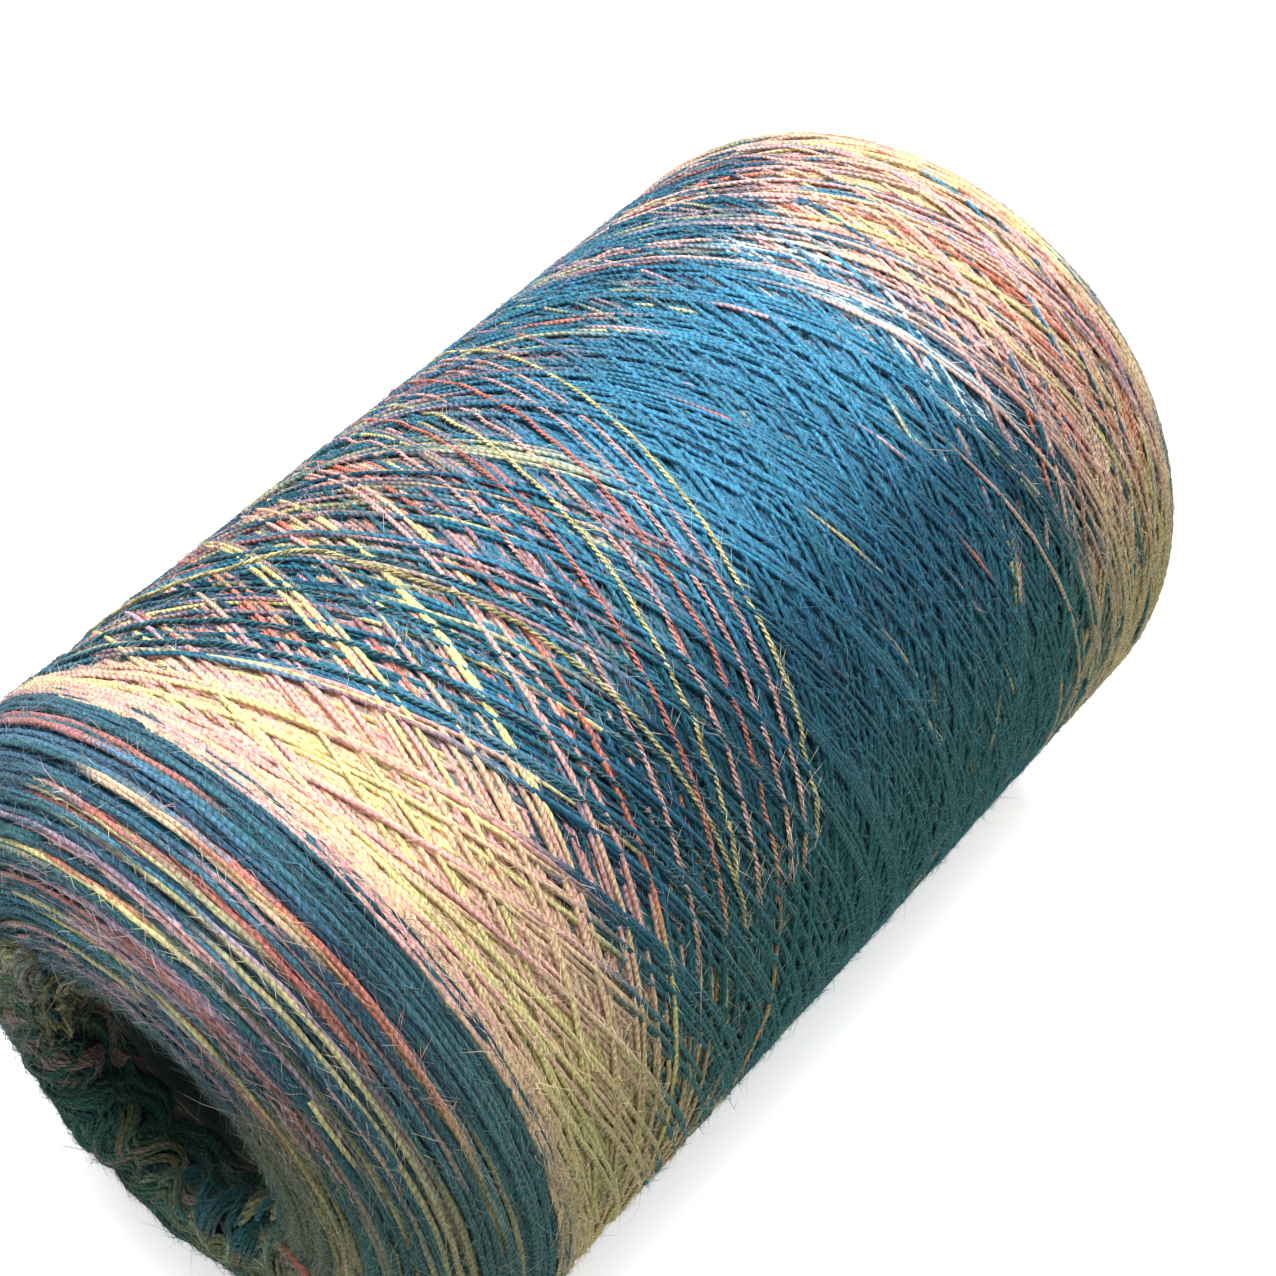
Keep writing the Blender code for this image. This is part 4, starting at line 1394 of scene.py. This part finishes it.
def needle_mesh(name, start, middle, tip, normal, colours, thick, bent):
    """One mesh of thin pointed fibres with three sides each, bent in the middle or straight."""
    count = len(start)
    reach = unit(middle - start)
    side = unit(np.cross(reach, normal + reach[:, [1, 2, 0]] * 0.3))
    lift = np.cross(side, reach)
    turn = 2.0 * pi * np.arange(3) / 3
    ring = np.cos(turn)[None, :, None] * side[:, None] + np.sin(turn)[None, :, None] * lift[:, None]
    rows = [start[:, None] + ring * thick * 0.5]
    if bent:
        rows.append(middle[:, None] + ring * thick * 0.4)
    corner = np.concatenate(rows + [tip[:, None]], axis=1).reshape(-1, 3)
    each = 3 * len(rows) + 1
    first = each * np.arange(count)[:, None]
    top = each - 4
    faces = [first + np.array(((top + j, top + (j + 1) % 3, each - 1),)) for j in range(3)]
    faces.append(first + np.array(((2, 1, 0),)))
    quads = []
    if bent:
        quads = [first + np.array(((j, (j + 1) % 3, 3 + (j + 1) % 3, 3 + j),)) for j in range(3)]
    loops = np.concatenate([part.ravel() for part in quads + faces])
    sizes = np.concatenate([np.full(count * len(quads), 4), np.full(count * len(faces), 3)])
    return dyed_piece(name, corner, loops, sizes, np.repeat(colours, each, 0))


def dyed_piece(name, corner, loops, sizes, dye):
    """A mesh object from its corners and face loops, with its dye attribute."""
    mesh = bpy.data.meshes.new(name)
    mesh.vertices.add(len(corner))
    mesh.loops.add(len(loops))
    mesh.polygons.add(len(sizes))
    mesh.vertices.foreach_set("co", corner.astype(np.float32).ravel())
    mesh.loops.foreach_set("vertex_index", loops.astype(np.int32))
    mesh.polygons.foreach_set("loop_start", np.r_[0, np.cumsum(sizes)[:-1]].astype(np.int32))
    mesh.polygons.foreach_set("use_smooth", np.ones(len(sizes), bool))
    mesh.update(calc_edges=True)
    shade = mesh.color_attributes.new("Dye", "FLOAT_COLOR", "POINT")
    rgba = np.ones((len(corner), 4), np.float32)
    rgba[:, :3] = dye
    shade.data.foreach_set("color", rgba.ravel())
    piece = bpy.data.objects.new(name, mesh)
    bpy.context.scene.collection.objects.link(piece)
    return piece


def fibre_material():
    """Single loose fibres in the colour of their dye attribute."""
    made, tree, shader = new_material("loose fibre", {
        "Roughness": 0.8, "Specular IOR Level": 0.2, "Sheen Weight": 0.3})
    dye = node(tree, "VertexColor", (-500, 100), layer_name="Dye")
    feed(tree, shader, {"Base Color": dye.outputs["Color"]})
    return made


def paper_material():
    """Kraft paper wound on a slant; inside, a near-black colour that is painted shade in the bore."""
    colours = settings()[1]
    made, tree, shader = new_material("wound paper", {"Roughness": 0.88, "Specular IOR Level": 0.25})
    where = node(tree, "TexCoord", (-1500, 0)).outputs["Object"]
    centred = node(tree, "VectorMath", (-1300, 0), {0: where, 1: NOSE}, operation="SUBTRACT")
    turned = node(tree, "VectorRotate", (-1100, 0), rotation_type="X_AXIS")
    feed(tree, turned, {"Angle": -atan2(AXIS.z, AXIS.y), "Vector": centred.outputs[0]})
    split = node(tree, "SeparateXYZ", (-900, 0), {0: turned.outputs[0]})
    around = node(tree, "Math", (-700, 100), {0: split.outputs[0], 1: split.outputs[2]}, operation="ARCTAN2")
    lengthwise = node(tree, "Math", (-700, -60), {0: split.outputs[1], 1: 1.0 / PAPER_PITCH},
                      operation="MULTIPLY")
    slant = node(tree, "Math", (-540, 100),
                 {0: around.outputs[0], 1: 1.0 / (2.0 * pi), 2: lengthwise.outputs[0]},
                 operation="MULTIPLY_ADD")
    wrap = node(tree, "Math", (-380, 100), {0: slant.outputs[0]}, operation="FRACT")
    seam = node(tree, "MapRange", (-220, 100), interpolation_type="SMOOTHSTEP")
    feed(tree, seam, {"From Min": 0.0, "From Max": 0.03, "To Min": 0.55, "To Max": 1.0,
                      "Value": wrap.outputs[0]})
    fibre = node(tree, "TexNoise", (-700, -260), {"Scale": 420.0, "Detail": 4.0, "Vector": where})
    light = node(tree, "MapRange", (-500, -260), {"To Min": 0.75, "To Max": 1.2,
                                                  "Value": fibre.outputs["Fac"]})
    both = node(tree, "Math", (-60, 0), {0: seam.outputs[0], 1: light.outputs[0]}, operation="MULTIPLY")
    shape = node(tree, "NewGeometry", (-1100, -400))
    spoke = node(tree, "VectorMath", (-900, -400), {0: turned.outputs[0], 1: (1.0, 0.0, 1.0)},
                 operation="MULTIPLY")
    facing = node(tree, "VectorMath", (-700, -400), {0: spoke.outputs[0], 1: shape.outputs["Normal"]},
                  operation="DOT_PRODUCT")
    # Painted shade: faces that look into the bore take the near-black colour.
    inside = node(tree, "Math", (-500, -400), {0: facing.outputs["Value"], 1: -0.005}, operation="LESS_THAN")
    kinds = node(tree, "Mix", (100, 200), data_type="RGBA")
    feed(tree, kinds, {"A": (*colours.paper, 1.0), "B": (*colours.shaded_lining, 1.0), "Factor": inside.outputs[0]})
    tint = node(tree, "VectorMath", (280, 100), {0: kinds.outputs["Result"], "Scale": both.outputs[0]},
                operation="SCALE")
    bump = node(tree, "Bump", (280, -300), {"Strength": 0.3, "Distance": 0.0002, "Height": both.outputs[0]})
    feed(tree, shader, {"Base Color": tint.outputs[0], "Normal": bump.outputs[0]})
    shader.location = (480, 0)
    tree.nodes["Material Output"].location = (780, 0)
    return made


def bed_material():
    """Deeper yarn: its dye attribute, broken up by fine dark streaks."""
    made, tree, shader = new_material("bed of yarn", {"Roughness": 0.95, "Specular IOR Level": 0.1})
    dye = node(tree, "VertexColor", (-700, 100), layer_name="Dye")
    where = node(tree, "TexCoord", (-900, -150))
    grain = node(tree, "TexNoise", (-700, -150), {"Scale": 900.0, "Detail": 3.0,
                                                  "Vector": where.outputs["Object"]})
    light = node(tree, "MapRange", (-500, -150), {"To Min": 0.4, "To Max": 1.5,
                                                  "Value": grain.outputs["Fac"]})
    tint = node(tree, "VectorMath", (-300, 100), {0: dye.outputs["Color"], "Scale": light.outputs[0]},
                operation="SCALE")
    feed(tree, shader, {"Base Color": tint.outputs[0]})
    return made


class YARN_PT_panel(bpy.types.Panel):
    """Lists the steps that make the package"""
    bl_idname = "YARN_PT_panel"
    bl_label = "Cone of yarn"
    bl_space_type = "VIEW_3D"
    bl_region_type = "UI"
    bl_category = "Yarn"

    def draw(self, context):
        for step in STEPS:
            self.layout.operator(step.bl_idname)


STEPS = (YARN_OT_stage, YARN_OT_core, YARN_OT_bed, YARN_OT_winding, YARN_OT_passes, YARN_OT_mouth,
         YARN_OT_bore, YARN_OT_fuzz)
GROUPS = (YARN_PG_sizes, YARN_PG_colours, YARN_PG_stage)


def register():
    """Registers the classes and hangs the settings on the scene."""
    for group in GROUPS:
        bpy.utils.register_class(group)
    bpy.types.Scene.yarn_sizes = bpy.props.PointerProperty(type=YARN_PG_sizes)
    bpy.types.Scene.yarn_colours = bpy.props.PointerProperty(type=YARN_PG_colours)
    bpy.types.Scene.yarn_stage = bpy.props.PointerProperty(type=YARN_PG_stage)
    for step in STEPS:
        bpy.utils.register_class(step)
    bpy.utils.register_class(YARN_PT_panel)


def unregister():
    """Takes the classes and settings off again."""
    bpy.utils.unregister_class(YARN_PT_panel)
    for step in reversed(STEPS):
        bpy.utils.unregister_class(step)
    del bpy.types.Scene.yarn_stage
    del bpy.types.Scene.yarn_colours
    del bpy.types.Scene.yarn_sizes
    for group in reversed(GROUPS):
        bpy.utils.unregister_class(group)


def main():
    """Makes every piece in turn."""
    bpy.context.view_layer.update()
    register()
    for step in STEPS:
        space, action = step.bl_idname.split(".")
        getattr(getattr(bpy.ops, space), action)()


if __name__ == "__main__":
    main()
